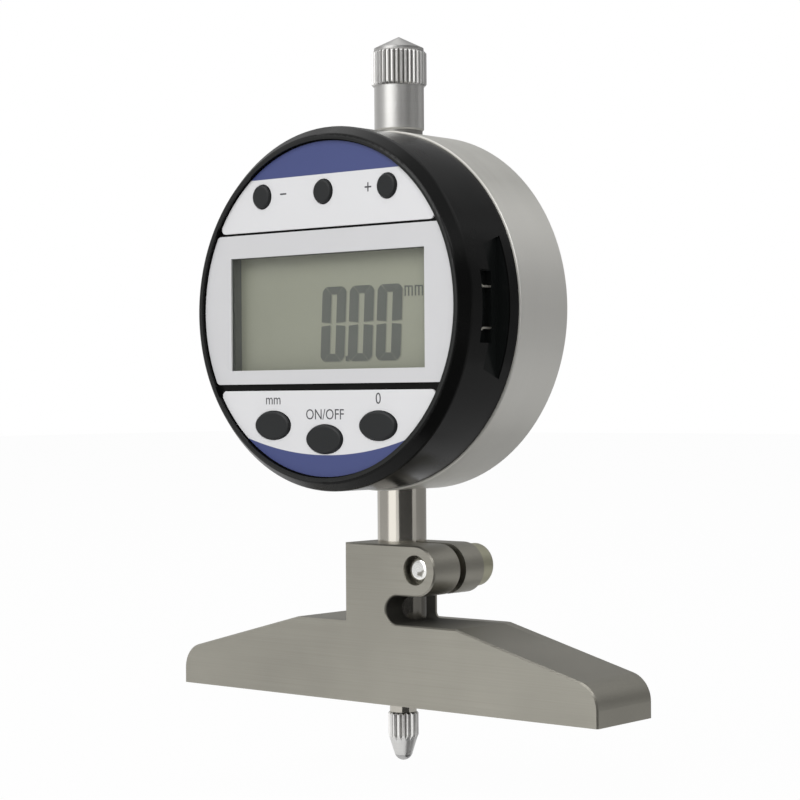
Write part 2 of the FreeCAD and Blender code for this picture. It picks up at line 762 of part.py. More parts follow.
def slab(name, left, right, front, back, bottom, top, keep=True):
    """A plain block in the upright frame; front and back are distances
    before the stem axis, bottom and top are heights."""
    item = doc.addObject("Part::Box", name)
    item.Label = name
    bind(item, Length=right - left, Width=front - back, Height=top - bottom)
    return place(item, keep, x=left, y=-front, z=bottom)


def group(name, items):
    """Identical separate solids that share one node."""
    compound = doc.addObject("Part::Compound", name)
    compound.Label = name
    compound.Links = items
    doc.recompute()
    nodes[name] = compound


def scale_carrier():
    """Carrier clamped on the spindle: a block with the guide hole in its arm
    and a thin plate in front that holds the scale strip."""
    body = new_body("scale_carrier")
    width = dim["scale_width"] / 2
    arm = dim["rail_x"] + dim["rail_diameter"]
    block = new_sketch(body, "XY", "block", offset=CARRIER_BOTTOM)
    box_outline(block, -width, arm, -PLATE_BACK, SPINDLE_RADIUS + dim["holder_wall"])
    pad(body, block, dim["carrier_block"])
    plate = new_sketch(body, "XY", "plate", offset=CARRIER_BOTTOM)
    box_outline(plate, -width, width, -SCALE_BACK, -PLATE_BACK)
    pad(body, plate, CARRIER_TOP - CARRIER_BOTTOM)
    bore = new_sketch(body, "XY", "bore")
    ring(bore, (0, 0), SPINDLE_RADIUS + dim["seat_gap"])
    cut(body, bore, forwards=True)
    guide = new_sketch(body, "XY", "guide")
    ring(guide, (dim["rail_x"], 0), dim["rail_diameter"] / 2 + dim["running_gap"])
    cut(body, guide, forwards=True)
    tapped = new_sketch(body, "XZ", "tapped_hole")
    ring(tapped, (0, CARRIER_BOTTOM + dim["carrier_block"] / 2), DRILL_RADIUS)
    cut(body, tapped)
    upright(body)


def scale_strip():
    """Printed scale that the sensor reads, glued to the carrier's plate."""
    width = dim["scale_width"] / 2
    slab("scale_strip", -width, width, SCALE_FACE, SCALE_BACK, SCALE_BOTTOM, SCALE_TOP)


def make_screw(name, x, y, seat, length, keep=False):
    """A small slotted screw in the dial frame, driven from behind: head
    behind its seat, shank forward of it."""
    head = dim["small_screw_head"] / 2
    thickness = dim["small_screw_head_length"]
    shank = DRILL_RADIUS - dim["seat_gap"]
    body = new_body(name)
    turn_profile(
        body,
        (0, -thickness),
        (head, -thickness),
        (head, 0),
        (shank, 0),
        (shank, length),
        (0, length),
    )
    slot = new_sketch(body, "XY", "slot", offset=-thickness)
    half = dim["small_screw_slot"] / 2
    box_outline(slot, -head - MARGIN, head + MARGIN, -half, half)
    cut(body, slot, thickness / 2, forwards=True)
    place(body, keep, x=x, y=-seat, z=dim["dial_height"] + y, turn=FACE_FORWARD)
    return body


def four_corners(x, top, bottom):
    """Four points: left and right, above and below the centre."""
    return [(x, top), (-x, top), (-x, -bottom), (x, -bottom)]


def screw_set(name, points, seat, length):
    """The same small screw at each point."""
    screws = [make_screw(f"{name}_{i}", x, y, seat, length) for i, (x, y) in enumerate(points, start=1)]
    group(name, screws)


POST_CIRCLE = BEZEL_BORE - dim["post_radius"] - dim["key_gap"]
POST_X = root(POST_CIRCLE * POST_CIRCLE - dim["housing_screw_y"] * dim["housing_screw_y"])
HOUSING_POINTS = four_corners(POST_X, dim["housing_screw_y"], dim["housing_screw_y"])
BOARD_POINTS = four_corners(dim["board_screw_x"], dim["board_screw_top"], dim["board_screw_bottom"])
COVER_OFFSET = (COVER_RADIUS - dim["cover_screw_inset"]) * math.sqrt(0.5)
COVER_POINTS = four_corners(COVER_OFFSET, COVER_OFFSET, COVER_OFFSET)


def carrier_screw():
    """Screw that clamps the carrier to the spindle from behind."""
    height = CARRIER_BOTTOM + dim["carrier_block"] / 2 - dim["dial_height"]
    back = SPINDLE_RADIUS + dim["holder_wall"]
    make_screw("carrier_screw", 0, height, -back, dim["holder_wall"], keep=True)


def rail_half():
    """Half the guide rod: to the case wall and a little way into it."""
    return root(CASE_BORE * CASE_BORE - dim["rail_x"] * dim["rail_x"]) + dim["rail_seat"]


def guide_rod():
    """Rod beside the spindle that stops the carrier from turning."""
    rod = doc.addObject("Part::Cylinder", "guide_rod")
    rod.Label = "guide_rod"
    bind(rod, Radius=dim["rail_diameter"] / 2, Height=rail_half() * 2)
    place(rod, True, x=dim["rail_x"], z=dim["dial_height"] - rail_half())


def return_spring():
    """Square wire compression spring round the spindle, carrier to neck."""
    body = new_body("return_spring")
    wire = new_sketch(body, "XZ", "wire")
    half = dim["spring_wire"] / 2
    box_outline(wire, dim["spring_radius"] - half, dim["spring_radius"] + half,
                BLOCK_TOP, BLOCK_TOP + dim["spring_wire"])
    coil = body.newObject("PartDesign::AdditiveHelix", "return_spring_coil")
    coil.Profile = wire
    coil.ReferenceAxis = (wire, ["V_Axis"])
    coil.Mode = 2
    bind(coil, Height=NECK_BOTTOM - BLOCK_TOP - dim["spring_wire"], Turns=dim["spring_turns"])
    doc.recompute()
    upright(body)


def top_neck():
    """Bearing neck in the top of the case; the dust cap screws on to it."""
    inner = SPINDLE_RADIUS + dim["running_gap"]
    outer = dim["neck_diameter"] / 2
    spigot = dim["neck_spigot"] / 2
    end = CAP_BOTTOM + dim["cap_thread_depth"] - dim["neck_room"]
    upright(turned(
        "top_neck",
        (inner, NECK_BOTTOM),
        (outer, NECK_BOTTOM),
        (outer, CAP_BOTTOM),
        (spigot, CAP_BOTTOM),
        (spigot, end),
        (inner, end),
    ))


def dust_cap():
    """Screw-on cap with a fluted grip and a blunt cone; the spindle's tail
    rises inside it."""
    outer = dim["cap_diameter"] / 2
    grip = dim["cap_grip_diameter"] / 2
    grip_bottom = CAP_BOTTOM + dim["cap_plain"]
    grip_top = grip_bottom + dim["cap_grip"]
    shoulder = grip_top + dim["cap_collar"]
    thread = dim["neck_spigot"] / 2 + dim["running_gap"]
    thread_end = CAP_BOTTOM + dim["cap_thread_depth"]
    bore = dim["cap_bore"] / 2
    bore_end = SPINDLE_TAIL + dim["spindle_travel"] + dim["tail_room"]
    body = turned(
        "dust_cap",
        (thread, CAP_BOTTOM),
        (outer, CAP_BOTTOM),
        (outer, grip_bottom),
        (outer + dim["cap_flute_depth"] / 2, grip_bottom),
        (grip, grip_bottom + dim["cap_flute_depth"]),
        (grip, grip_top - (grip - outer)),
        (outer, grip_top),
        (outer, shoulder),
        (0, shoulder + dim["cap_cone"]),
        (0, bore_end),
        (bore, bore_end),
        (bore, thread_end),
        (thread, thread_end),
    )
    dress(body, "Chamfer", dim["base_edge"], lambda e: circle_at(e, outer, CAP_BOTTOM))
    flutes(body, grip, dim["cap_flute_depth"], dim["cap_flute_count"],
           grip_bottom - MARGIN, grip_top)
    upright(body)


def post(body, name, points, radius, start, length):
    """Round posts on a plate; each one is a pad of its own."""
    sketch = new_sketch(body, "XY", name, offset=start)
    for point in points:
        ring(sketch, point, radius)
    pad(body, sketch, length)


def drill(body, name, points, radius, start, length=None):
    """Round holes forward from a level, through unless a length is given."""
    sketch = new_sketch(body, "XY", name, offset=start)
    for point in points:
        ring(sketch, point, radius)
    cut(body, sketch, length, forwards=True)


def rear_case():
    """Steel case: a drum with a front web, seats for stem and neck, posts for
    the back cover and a window for the sensor."""
    rebate = COVER_RADIUS + dim["seat_gap"]
    body = turned(
        "rear_case",
        (0, WEB_BACK),
        (CASE_BORE, WEB_BACK),
        (CASE_BORE, COVER_FRONT),
        (rebate, COVER_FRONT),
        (rebate, -dim["case_back"]),
        (CASE_RADIUS, -dim["case_back"]),
        (CASE_RADIUS, dim["case_front"]),
        (0, dim["case_front"]),
    )
    dress(body, "Chamfer", dim["case_edge"], lambda e: circle_at(e, CASE_RADIUS, -dim["case_back"]))
    dress(body, "Chamfer", dim["case_front_edge"], lambda e: circle_at(e, CASE_RADIUS, dim["case_front"]))
    half = dim["boss_width"] / 2
    reach = CASE_BORE + dim["case_edge"]
    seats = new_sketch(body, "XY", "seats")
    box_outline(seats, -half, half, SEAT_LEVEL, reach)
    box_outline(seats, -half, half, -reach, -SEAT_LEVEL)
    pad(body, seats, WEB_BACK * 2, both_sides=True)
    post(body, "cover_posts", COVER_POINTS, dim["post_radius"], COVER_FRONT, WEB_BACK - COVER_FRONT)
    drill(body, "cover_holes", COVER_POINTS, DRILL_RADIUS, COVER_FRONT,
          dim["small_screw_length"] + dim["running_gap"])
    drill(body, "housing_holes", HOUSING_POINTS, DRILL_RADIUS + dim["running_gap"], WEB_BACK)
    stem_seat = new_sketch(body, "XZ", "stem_seat")
    ring(stem_seat, (0, 0), STEM_RADIUS + dim["seat_gap"])
    cut(body, stem_seat, forwards=True)
    neck_seat = new_sketch(body, "XZ", "neck_seat")
    ring(neck_seat, (0, 0), dim["neck_diameter"] / 2 + dim["seat_gap"])
    cut(body, neck_seat)
    rail = new_sketch(body, "XZ", "rail_seats")
    ring(rail, (dim["rail_x"], 0), dim["rail_diameter"] / 2 + dim["seat_gap"])
    cut(body, rail, rail_half() * 2, both_sides=True)
    wide = dim["sensor_width"] / 2
    tall = dim["sensor_height"] / 2
    window = new_sketch(body, "XY", "sensor_window")
    box_outline(window, -wide, wide, -tall, tall)
    cut(body, window, forwards=True)
    ledge = new_sketch(body, "XY", "sensor_ledge", offset=dim["case_front"])
    rest = dim["sensor_ledge"]
    box_outline(ledge, -wide - rest, wide + rest, -tall - rest, tall + rest)
    cut(body, ledge, dim["board_thickness"])
    to_dial(body)


def back_cover():
    """Round cover plate let into the back of the case."""
    radius = COVER_RADIUS
    body = turned(
        "back_cover",
        (0, -dim["case_back"]),
        (radius, -dim["case_back"]),
        (radius, COVER_FRONT),
        (0, COVER_FRONT),
    )
    dress(body, "Chamfer", dim["base_edge"], lambda e: circle_at(e, radius, -dim["case_back"]))
    drill(body, "holes", COVER_POINTS, DRILL_RADIUS + dim["running_gap"], -dim["case_back"])
    recess = dim["small_screw_head"] / 2 + dim["head_play"]
    drill(body, "head_recesses", COVER_POINTS, recess, -dim["case_back"], dim["small_screw_head_length"])
    to_dial(body)


def sensor_board():
    """Sensor in the web's window, its electrodes facing the scale."""
    body = new_body("sensor_board")
    wide = dim["sensor_width"] / 2
    tall = dim["sensor_height"] / 2
    gap = dim["running_gap"]
    edge = dim["sensor_ledge"] - gap
    back = dim["case_front"] - dim["board_thickness"]
    board = new_sketch(body, "XY", "board", offset=back)
    box_outline(board, -wide - edge, wide + edge, -tall - edge, tall + edge)
    pad(body, board, dim["board_thickness"])
    face = new_sketch(body, "XY", "electrodes", offset=WEB_BACK)
    box_outline(face, -wide + gap, wide - gap, -tall + gap, tall - gap)
    pad(body, face, back - WEB_BACK)
    to_dial(body)


ROUND_KEYS = [
    ("key_upper_left", -dim["round_key_x"]),
    ("key_upper_middle", 0),
    ("key_upper_right", dim["round_key_x"]),
]
OVAL_KEYS = [
    ("key_lower_left", -dim["oval_key_x"], -dim["oval_key_y"]),
    ("key_lower_middle", 0, -dim["oval_key_middle_y"]),
    ("key_lower_right", dim["oval_key_x"], -dim["oval_key_y"]),
]


def key_holes(body, gap, lower=True, upper=True):
    """Holes for the keys that pass through this wall."""
    if upper:
        sketch = new_sketch(body, "XY", "round_key_holes")
        for name, x in ROUND_KEYS:
            ring(sketch, (x, dim["round_key_y"]), dim["round_key"] / 2 + gap)
        cut(body, sketch, forwards=True)
    if lower:
        sketch = new_sketch(body, "XY", "oval_key_holes")
        for name, x, y in OVAL_KEYS:
            oval(sketch, (x, y), dim["oval_key_width"] + gap * 2, dim["oval_key_height"] + gap * 2)
        cut(body, sketch, forwards=True)


def window_hole(body):
    """Opening for the display."""
    half = dim["window_width"] / 2
    sketch = new_sketch(body, "XY", "window")
    box_outline(sketch, -half, half, -dim["window_bottom"], dim["window_top"])
    cut(body, sketch, forwards=True)


def front_housing():
    """Black moulded housing: a cup with a raised rim, a sunk front wall for
    the panels, screw posts, and the stepped recess in its right side."""
    body = turned(
        "front_housing",
        (0, WALL_BACK),
        (BEZEL_BORE, WALL_BACK),
        (BEZEL_BORE, dim["case_front"]),
        (BEZEL_RADIUS, dim["case_front"]),
        (BEZEL_RADIUS, dim["bezel_shoulder"]),
        (RIM_OUTER, dim["bezel_front"]),
        (RIM_INNER, dim["bezel_front"]),
        (RIM_INNER, PANEL_BACK),
        (0, PANEL_BACK),
    )
    rim = [(BEZEL_RADIUS, dim["bezel_shoulder"]), (RIM_OUTER, dim["bezel_front"])]
    dress(body, "Fillet", dim["rim_rounding"], lambda e: any(circle_at(e, *place) for place in rim))

    middle = (BEZEL_BORE + BEZEL_RADIUS) / 2
    half_chord = root(middle * middle - PORT_INNER * PORT_INNER)
    backing = new_sketch(body, "XY", "port_backing", offset=dim["case_front"])
    outline(backing, (PORT_INNER, -half_chord, (0, 0)), (PORT_INNER, half_chord))
    pad(body, backing, WALL_BACK - dim["case_front"] + dim["bezel_wall"] / 2)

    recess = new_sketch(body, "YZ", "port_recess", offset=BEZEL_RADIUS - dim["port_depth"])
    drop = dim["port_drop"]
    outline(
        recess,
        (-dim["port_half_back"] - drop, dim["port_back"]),
        (dim["port_half_back"] - drop, dim["port_back"]),
        (dim["port_half_front"] - drop, dim["port_front"]),
        (-dim["port_half_front"] - drop, dim["port_front"]),
    )
    cut(body, recess, forwards=True)
    notch = new_sketch(body, "YZ", "port_notch", offset=BEZEL_RADIUS - dim["notch_depth"])
    box_outline(notch, -dim["notch_half"] - drop, dim["notch_half"] - drop,
                dim["notch_back"], dim["notch_front"])
    cut(body, notch, forwards=True)

    post(body, "case_posts", HOUSING_POINTS, dim["post_radius"], dim["case_front"],
         WALL_BACK - dim["case_front"] + dim["bezel_wall"] / 2)
    post(body, "board_posts", BOARD_POINTS, dim["board_post_radius"], dim["board_front"],
         WALL_BACK - dim["board_front"] + dim["bezel_wall"] / 2)
    drill(body, "case_post_holes", HOUSING_POINTS, DRILL_RADIUS, dim["case_front"], dim["small_screw_length"])
    drill(body, "board_post_holes", BOARD_POINTS, DRILL_RADIUS, dim["board_front"], dim["small_screw_length"])
    window_hole(body)
    play = dim["lcd_play"]
    glass = dim["lcd_width"] / 2 + play
    glass_room = new_sketch(body, "XY", "glass_room", offset=WALL_BACK)
    box_outline(glass_room, -glass, glass, -dim["window_bottom"] - dim["lcd_margin"] - play,
                dim["window_top"] + dim["lcd_margin"] + play)
    cut(body, glass_room, WALL_BACK - dim["case_front"], may_miss=True)
    lens_seat = new_sketch(body, "XY", "lens_seat", offset=PANEL_BACK)
    ledge = dim["lens_ledge"]
    half = dim["window_width"] / 2 + ledge
    box_outline(lens_seat, -half, half, -dim["window_bottom"] - ledge, dim["window_top"] + ledge)
    cut(body, lens_seat, dim["lens_thickness"])
    key_holes(body, dim["key_gap"])
    to_dial(body)


def panel(name, *corners):
    """A printed panel that fills its part of the round front."""
    body = new_body(name)
    sketch = new_sketch(body, "XY", "outline", offset=PANEL_BACK)
    outline(sketch, *corners)
    pad(body, sketch, dim["panel_thickness"])
    dress(body, "Fillet", dim["panel_corner"], lambda e: edge_along(e, Z_AXIS))
    return body


def chord(height):
    """Half width of the panels' circle at this height."""
    return root(PANEL_RADIUS * PANEL_RADIUS - height * height)


def panels():
    """The three printed panels: top, round the window, and bottom."""
    centre = (0, 0)
    edge = dim["top_panel_edge"]
    top = panel("top_panel", (-chord(edge), edge), (chord(edge), edge, centre))
    key_holes(top, dim["key_gap"], lower=False)
    to_dial(top)

    high = dim["middle_panel_top"]
    low = dim["middle_panel_bottom"]
    middle = panel(
        "window_panel",
        (-chord(low), -low),
        (chord(low), -low, centre),
        (chord(high), high),
        (-chord(high), high, centre),
    )
    window_hole(middle)
    to_dial(middle)

    edge = dim["bottom_panel_edge"]
    bottom = panel("bottom_panel", (chord(edge), -edge), (-chord(edge), -edge, centre))
    key_holes(bottom, dim["key_gap"], upper=False)
    to_dial(bottom)


def display():
    """Clear window, display glass behind it, and the rubber contact strips
    that join the glass to the board."""
    centre = dim["dial_height"]
    edge = dim["lens_ledge"] - dim["running_gap"]
    half = dim["window_width"] / 2 + edge
    slab("display_window", -half, half, PANEL_BACK, PANEL_BACK - dim["lens_thickness"],
         centre - dim["window_bottom"] - edge, centre + dim["window_top"] + edge)
    glass = dim["lcd_width"] / 2
    bottom = centre - dim["window_bottom"] - dim["lcd_margin"]
    top = centre + dim["window_top"] + dim["lcd_margin"]
    slab("display_glass", -glass, glass, WALL_BACK, LCD_BACK, bottom, top)
    strip = dim["lcd_thickness"]
    lower = slab("contact_strip_lower", -glass, glass, LCD_BACK, dim["board_front"],
                 bottom, bottom + strip, keep=False)
    upper = slab("contact_strip_upper", -glass, glass, LCD_BACK, dim["board_front"],
                 top - strip, top, keep=False)
    group("contact_strips", [lower, upper])


def circuit_board():
    """Main board, notched round the housing's screw posts."""
    body = turned(
        "circuit_board",
        (0, BOARD_BACK),
        (BOARD_RADIUS, BOARD_BACK),
        (BOARD_RADIUS, dim["board_front"]),
        (0, dim["board_front"]),
    )
    inside = PORT_INNER - dim["key_gap"]
    side = new_sketch(body, "XY", "port_side")
    box_outline(side, inside, BOARD_RADIUS + MARGIN, -BOARD_RADIUS, BOARD_RADIUS)
    cut(body, side, forwards=True)
    drill(body, "post_notches", HOUSING_POINTS, dim["post_radius"] + dim["key_gap"], 0)
    drill(body, "screw_holes", BOARD_POINTS, DRILL_RADIUS + dim["running_gap"], 0)
    to_dial(body)


def battery():
    """Coin cell in its holder behind the board."""
    holder = new_body("cell_holder")
    radius = dim["cell_diameter"] / 2
    centre = (CELL_X, 0)
    depth = dim["cell_thickness"] + dim["holder_floor"]
    cup = new_sketch(holder, "XY", "cup", offset=BOARD_BACK - depth)
    ring(cup, centre, CELL_OUTER)
    pad(holder, cup, depth)
    room = new_sketch(holder, "XY", "room", offset=BOARD_BACK - depth)
    ring(room, centre, radius + dim["key_gap"])
    cut(holder, room, dim["cell_thickness"], forwards=True)
    to_dial(holder)

    cell = doc.addObject("Part::Cylinder", "coin_cell")
    cell.Label = "coin_cell"
    bind(cell, Radius=radius, Height=dim["cell_thickness"])
    place(cell, True, x=CELL_X, y=depth - BOARD_BACK, z=dim["dial_height"], turn=FACE_FORWARD)


def contact_clips():
    """Two bright S-bent spring contacts in the notch, one above the other."""
    clip = new_body("contact_clip")
    floor = BEZEL_RADIUS - dim["notch_depth"]
    sketch = new_sketch(clip, "YZ", "leaf", offset=floor)
    near_side = dim["clip_height"] - dim["clip_thickness"]
    far_side = dim["clip_height"] + dim["clip_thickness"]
    back = dim["notch_back"]
    front = dim["notch_front"] - dim["clip_thickness"]
    bend = (back + front) / 2
    slope = dim["clip_thickness"] * 2
    thick = dim["clip_thickness"]
    outline(
        sketch,
        (near_side, back),
        (near_side + thick, back),
        (near_side + thick, bend - slope),
        (far_side + thick, bend + slope),
        (far_side + thick, front),
        (far_side, front),
        (far_side, bend + slope),
        (near_side, bend - slope),
    )
    pad(clip, sketch, dim["notch_depth"] - dim["port_depth"])
    middle = dim["dial_height"] - dim["port_drop"]
    place(clip, False, z=middle, turn=FACE_FORWARD)
    twin = doc.addObject("Part::Mirroring", "contact_clip_twin")
    twin.Source = clip
    twin.Normal = Z_AXIS
    twin.Base = Vector(0, 0, number_of(middle))
    twin.setExpression("Base.z", middle.formula)
    group("contact_clips", [clip, twin])


DOME_TOP = WALL_BACK - dim["key_flange"] - dim["key_travel"] - dim["key_gap"]


def key_pad(name, points, bottom, top, half):
    """Rubber strip on the board with a dome under each key."""
    body = new_body(name)
    sketch = new_sketch(body, "XY", "sheet", offset=dim["board_front"])
    box_outline(sketch, -half, half, bottom, top)
    pad(body, sketch, dim["pad_thickness"])
    post(body, "domes", points, dim["dome_radius"], dim["board_front"], DOME_TOP - dim["board_front"])
    to_dial(body)


def key_pads():
    """The upper and the lower rubber strip."""
    reach = dim["dome_radius"]
    upper = [(x, dim["round_key_y"]) for name, x in ROUND_KEYS]
    key_pad("upper_key_pad", upper, dim["round_key_y"] - reach, dim["round_key_y"] + reach,
            dim["round_key_x"] + reach)
    lower = [(x, y) for name, x, y in OVAL_KEYS]
    key_pad("lower_key_pad", lower, -dim["oval_key_middle_y"] - reach, -dim["oval_key_y"] + reach,
            dim["oval_key_x"] + reach)


def round_key(name, x):
    """Round key: crowned cap, flange behind the front wall."""
    cap = dim["round_key"] / 2
    flange = cap + dim["key_flange"]
    top = dim["panel_face"] + dim["key_rise"]
    body = turned(
        name,
        (0, WALL_BACK - dim["key_flange"]),
        (flange, WALL_BACK - dim["key_flange"]),
        (flange, WALL_BACK),
        (cap, WALL_BACK),
        (cap, top),
        (0, top),
    )
    dress(body, "Fillet", dim["key_rounding"], lambda e: circle_at(e, cap, top))
    place(body, True, x=x, z=dim["dial_height"] + dim["round_key_y"], turn=FACE_FORWARD)


def oval_key(name, x, y):
    """Oval key: crowned cap, flange behind the front wall."""
    body = new_body(name)
    centre = (0, 0)
    flange = new_sketch(body, "XY", "flange", offset=WALL_BACK - dim["key_flange"])
    spread = dim["key_flange"] * 2
    oval(flange, centre, dim["oval_key_width"] + spread, dim["oval_key_height"] + spread)
    pad(body, flange, dim["key_flange"])
    cap = new_sketch(body, "XY", "cap", offset=WALL_BACK)
    oval(cap, centre, dim["oval_key_width"], dim["oval_key_height"])
    top = dim["panel_face"] + dim["key_rise"]
    pad(body, cap, top - WALL_BACK)
    dress(body, "Fillet", dim["key_rounding"],
          lambda e: near(e.CenterOfMass.z, top) and near(e.BoundBox.ZLength, 0))
    place(body, True, x=x, z=dim["dial_height"] + y, turn=FACE_FORWARD)


def build():
    """Every piece, from the base upwards and from the case to the keys."""
    depth_base()
    clamp_screw()
    stem()
    bush("lower_bush", dim["stem_end"])
    bush("upper_bush", STEM_TOP - dim["bush_length"])
    spindle()
    contact_point()
    contact_ball()
    scale_carrier()
    scale_strip()
    carrier_screw()
    guide_rod()
    return_spring()
    top_neck()
    dust_cap()
    rear_case()
    back_cover()
    screw_set("cover_screws", COVER_POINTS, dim["small_screw_head_length"] - dim["case_back"],
              dim["small_screw_length"])
    front_housing()
    screw_set("housing_screws", HOUSING_POINTS, WEB_BACK, dim["small_screw_length"])
    panels()
    display()
    circuit_board()
    screw_set("board_screws", BOARD_POINTS, BOARD_BACK, dim["small_screw_length"])
    sensor_board()
    battery()
    contact_clips()
    key_pads()
    for name, x in ROUND_KEYS:
        round_key(name, x)
    for name, x, y in OVAL_KEYS:
        oval_key(name, x, y)


def write_parts():
    """Check every object and solid, then write one file per node."""
    doc.recompute()
    for item in doc.Objects:
        if "Invalid" in item.State or "Error" in item.State:
            raise RuntimeError(f"{item.Label} failed: {item.State}")
    for name, item in nodes.items():
        if item.Shape.isNull() or not item.Shape.isValid() or not item.Shape.Solids:
            raise RuntimeError(f"{name} has no valid solid")
    for name, item in nodes.items():
        item.Shape.exportStep(f"parts/{name}.step")
        box = item.Shape.BoundBox
        print(f"{name:18s} {len(item.Shape.Solids)} solid(s) {item.Shape.Volume:10.2f} mm3  "
              f"x {box.XMin:.2f}..{box.XMax:.2f} y {box.YMin:.2f}..{box.YMax:.2f} "
              f"z {box.ZMin:.2f}..{box.ZMax:.2f}")


build()
write_parts()
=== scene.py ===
import math

import bpy
from mathutils import Matrix, Vector


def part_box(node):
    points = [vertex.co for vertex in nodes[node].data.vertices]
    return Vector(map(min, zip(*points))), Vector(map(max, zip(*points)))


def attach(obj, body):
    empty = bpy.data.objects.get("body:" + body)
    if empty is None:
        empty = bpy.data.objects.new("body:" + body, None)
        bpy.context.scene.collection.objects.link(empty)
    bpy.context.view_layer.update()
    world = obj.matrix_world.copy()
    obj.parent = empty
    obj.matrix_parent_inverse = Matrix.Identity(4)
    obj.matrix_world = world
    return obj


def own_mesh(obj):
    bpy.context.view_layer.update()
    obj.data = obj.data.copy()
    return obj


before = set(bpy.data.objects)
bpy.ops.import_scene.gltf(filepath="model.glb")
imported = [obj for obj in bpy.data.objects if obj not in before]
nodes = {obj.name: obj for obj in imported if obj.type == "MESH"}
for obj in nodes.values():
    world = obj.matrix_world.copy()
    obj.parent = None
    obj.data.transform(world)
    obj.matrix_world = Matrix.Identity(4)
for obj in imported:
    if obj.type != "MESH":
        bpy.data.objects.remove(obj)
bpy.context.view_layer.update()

MM = 0.001
DIAL_HEIGHT = 63.1 * MM
DIAL_AXIS = ((0, 0, DIAL_HEIGHT), (0, 1, 0))
STEM_AXIS = ((0, 0, 0), (0, 0, 1))
SCREW_CENTRE = (8.65 * MM, 0, 21.8 * MM)
CELL_AXIS = ((9.5 * MM, 0, DIAL_HEIGHT), (0, 1, 0))
GLASS_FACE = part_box("display_glass")[0][1]
PANEL_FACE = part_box("window_panel")[0][1]
BASE_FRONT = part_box("depth_base")[0][1]
# low enough for the point when the head is pushed down to its limit
FLOOR_HEIGHT = -16.2 * MM
CARD_LIFT = 0.2 * MM
AIM = Vector((0, 0, 0.05))

# Heights, radii and depths where finishes, painted light and painted shade change
POINT_GRIP = (-6.05 * MM, -2.0 * MM)
POINT_FLUTE = (2.14 * MM, 2.36 * MM)
CAP_GRIP = (99.9 * MM, 105.6 * MM)
CAP_FLUTE = (4.2 * MM, 4.45 * MM)
SLOT_LEFT = -3.3 * MM
SLOT_FLOOR = 5.5 * MM
SLOT_ROOF = 17.65 * MM
SLOT_BACK = 5.0 * MM
RECESS_RADIUS = 2.46 * MM
CASE_FRONT_EDGE = -5.78 * MM
RIM_FRONT = -19.145 * MM
PORT_RADIUS = 28.4 * MM
PORT_DEPTH = (-15.0 * MM, -8.05 * MM)
WINDOW_HALF_WIDTH = 21.6 * MM
WINDOW_BOTTOM = DIAL_HEIGHT - 10.6 * MM
WINDOW_TOP = DIAL_HEIGHT + 9.9 * MM
PRINT_EDGE = 0.03 * MM


# Shader helpers

def socket_value(node, name, value):
    node.inputs[name].default_value = value


class Graph:
    """Small helper that adds and wires nodes in one tree."""

    def __init__(self, tree):
        self.tree = tree
        self.column = 0

    def add(self, kind, **settings):
        node = self.tree.nodes.new(kind)
        node.location = (self.column * 200, -(self.column % 4) * 160)
        self.column += 1
        for name, value in settings.items():
            setattr(node, name, value)
        return node

    def feed(self, target, source):
        if isinstance(source, bpy.types.NodeSocket):
            self.tree.links.new(source, target)
        else:
            target.default_value = source

    def math(self, operation, a, b=0.0):
        node = self.add("ShaderNodeMath", operation=operation)
        self.feed(node.inputs[0], a)
        self.feed(node.inputs[1], b)
        return node.outputs[0]

    def mix(self, factor, a, b, blend="MIX"):
        node = self.add("ShaderNodeMix", data_type="RGBA", blend_type=blend)
        self.feed(node.inputs[0], factor)
        self.feed(node.inputs[6], a)
        self.feed(node.inputs[7], b)
        return node.outputs[2]

    def stretch(self, value, low, high, new_low=0.0, new_high=1.0):
        node = self.add("ShaderNodeMapRange")
        self.feed(node.inputs["Value"], value)
        socket_value(node, "From Min", low)
        socket_value(node, "From Max", high)
        self.feed(node.inputs["To Min"], new_low)
        self.feed(node.inputs["To Max"], new_high)
        return node.outputs[0]

    def noise(self, vector, scale, detail=3.0, roughness=0.55):
        node = self.add("ShaderNodeTexNoise")
        self.feed(node.inputs["Vector"], vector)
        self.feed(node.inputs["Scale"], scale)
        socket_value(node, "Detail", detail)
        socket_value(node, "Roughness", roughness)
        return node.outputs["Fac"]

    def place(self):
        return self.add("ShaderNodeTexCoord").outputs["Object"]

    def split(self, vector):
        node = self.add("ShaderNodeSeparateXYZ")
        self.feed(node.inputs[0], vector)
        return node.outputs

    def join(self, x, y, z):
        node = self.add("ShaderNodeCombineXYZ")
        for socket, value in zip(node.inputs, (x, y, z)):
            self.feed(socket, value)
        return node.outputs[0]

    def use(self, group, **values):
        node = self.add("ShaderNodeGroup", node_tree=group)
        for name, value in values.items():
            self.feed(node.inputs[name.replace("_", " ")], value)
        return node.outputs


def new_group(name, inputs, outputs):
    """A node group with named sockets; gives its graph and its two ends."""
    tree = bpy.data.node_groups.new(name, "ShaderNodeTree")
    for label, kind, value in inputs:
        item = tree.interface.new_socket(label, in_out="INPUT", socket_type=kind)
        item.default_value = value
    for label, kind in outputs:
        tree.interface.new_socket(label, in_out="OUTPUT", socket_type=kind)
    graph = Graph(tree)
    return graph, graph.add("NodeGroupInput"), graph.add("NodeGroupOutput")


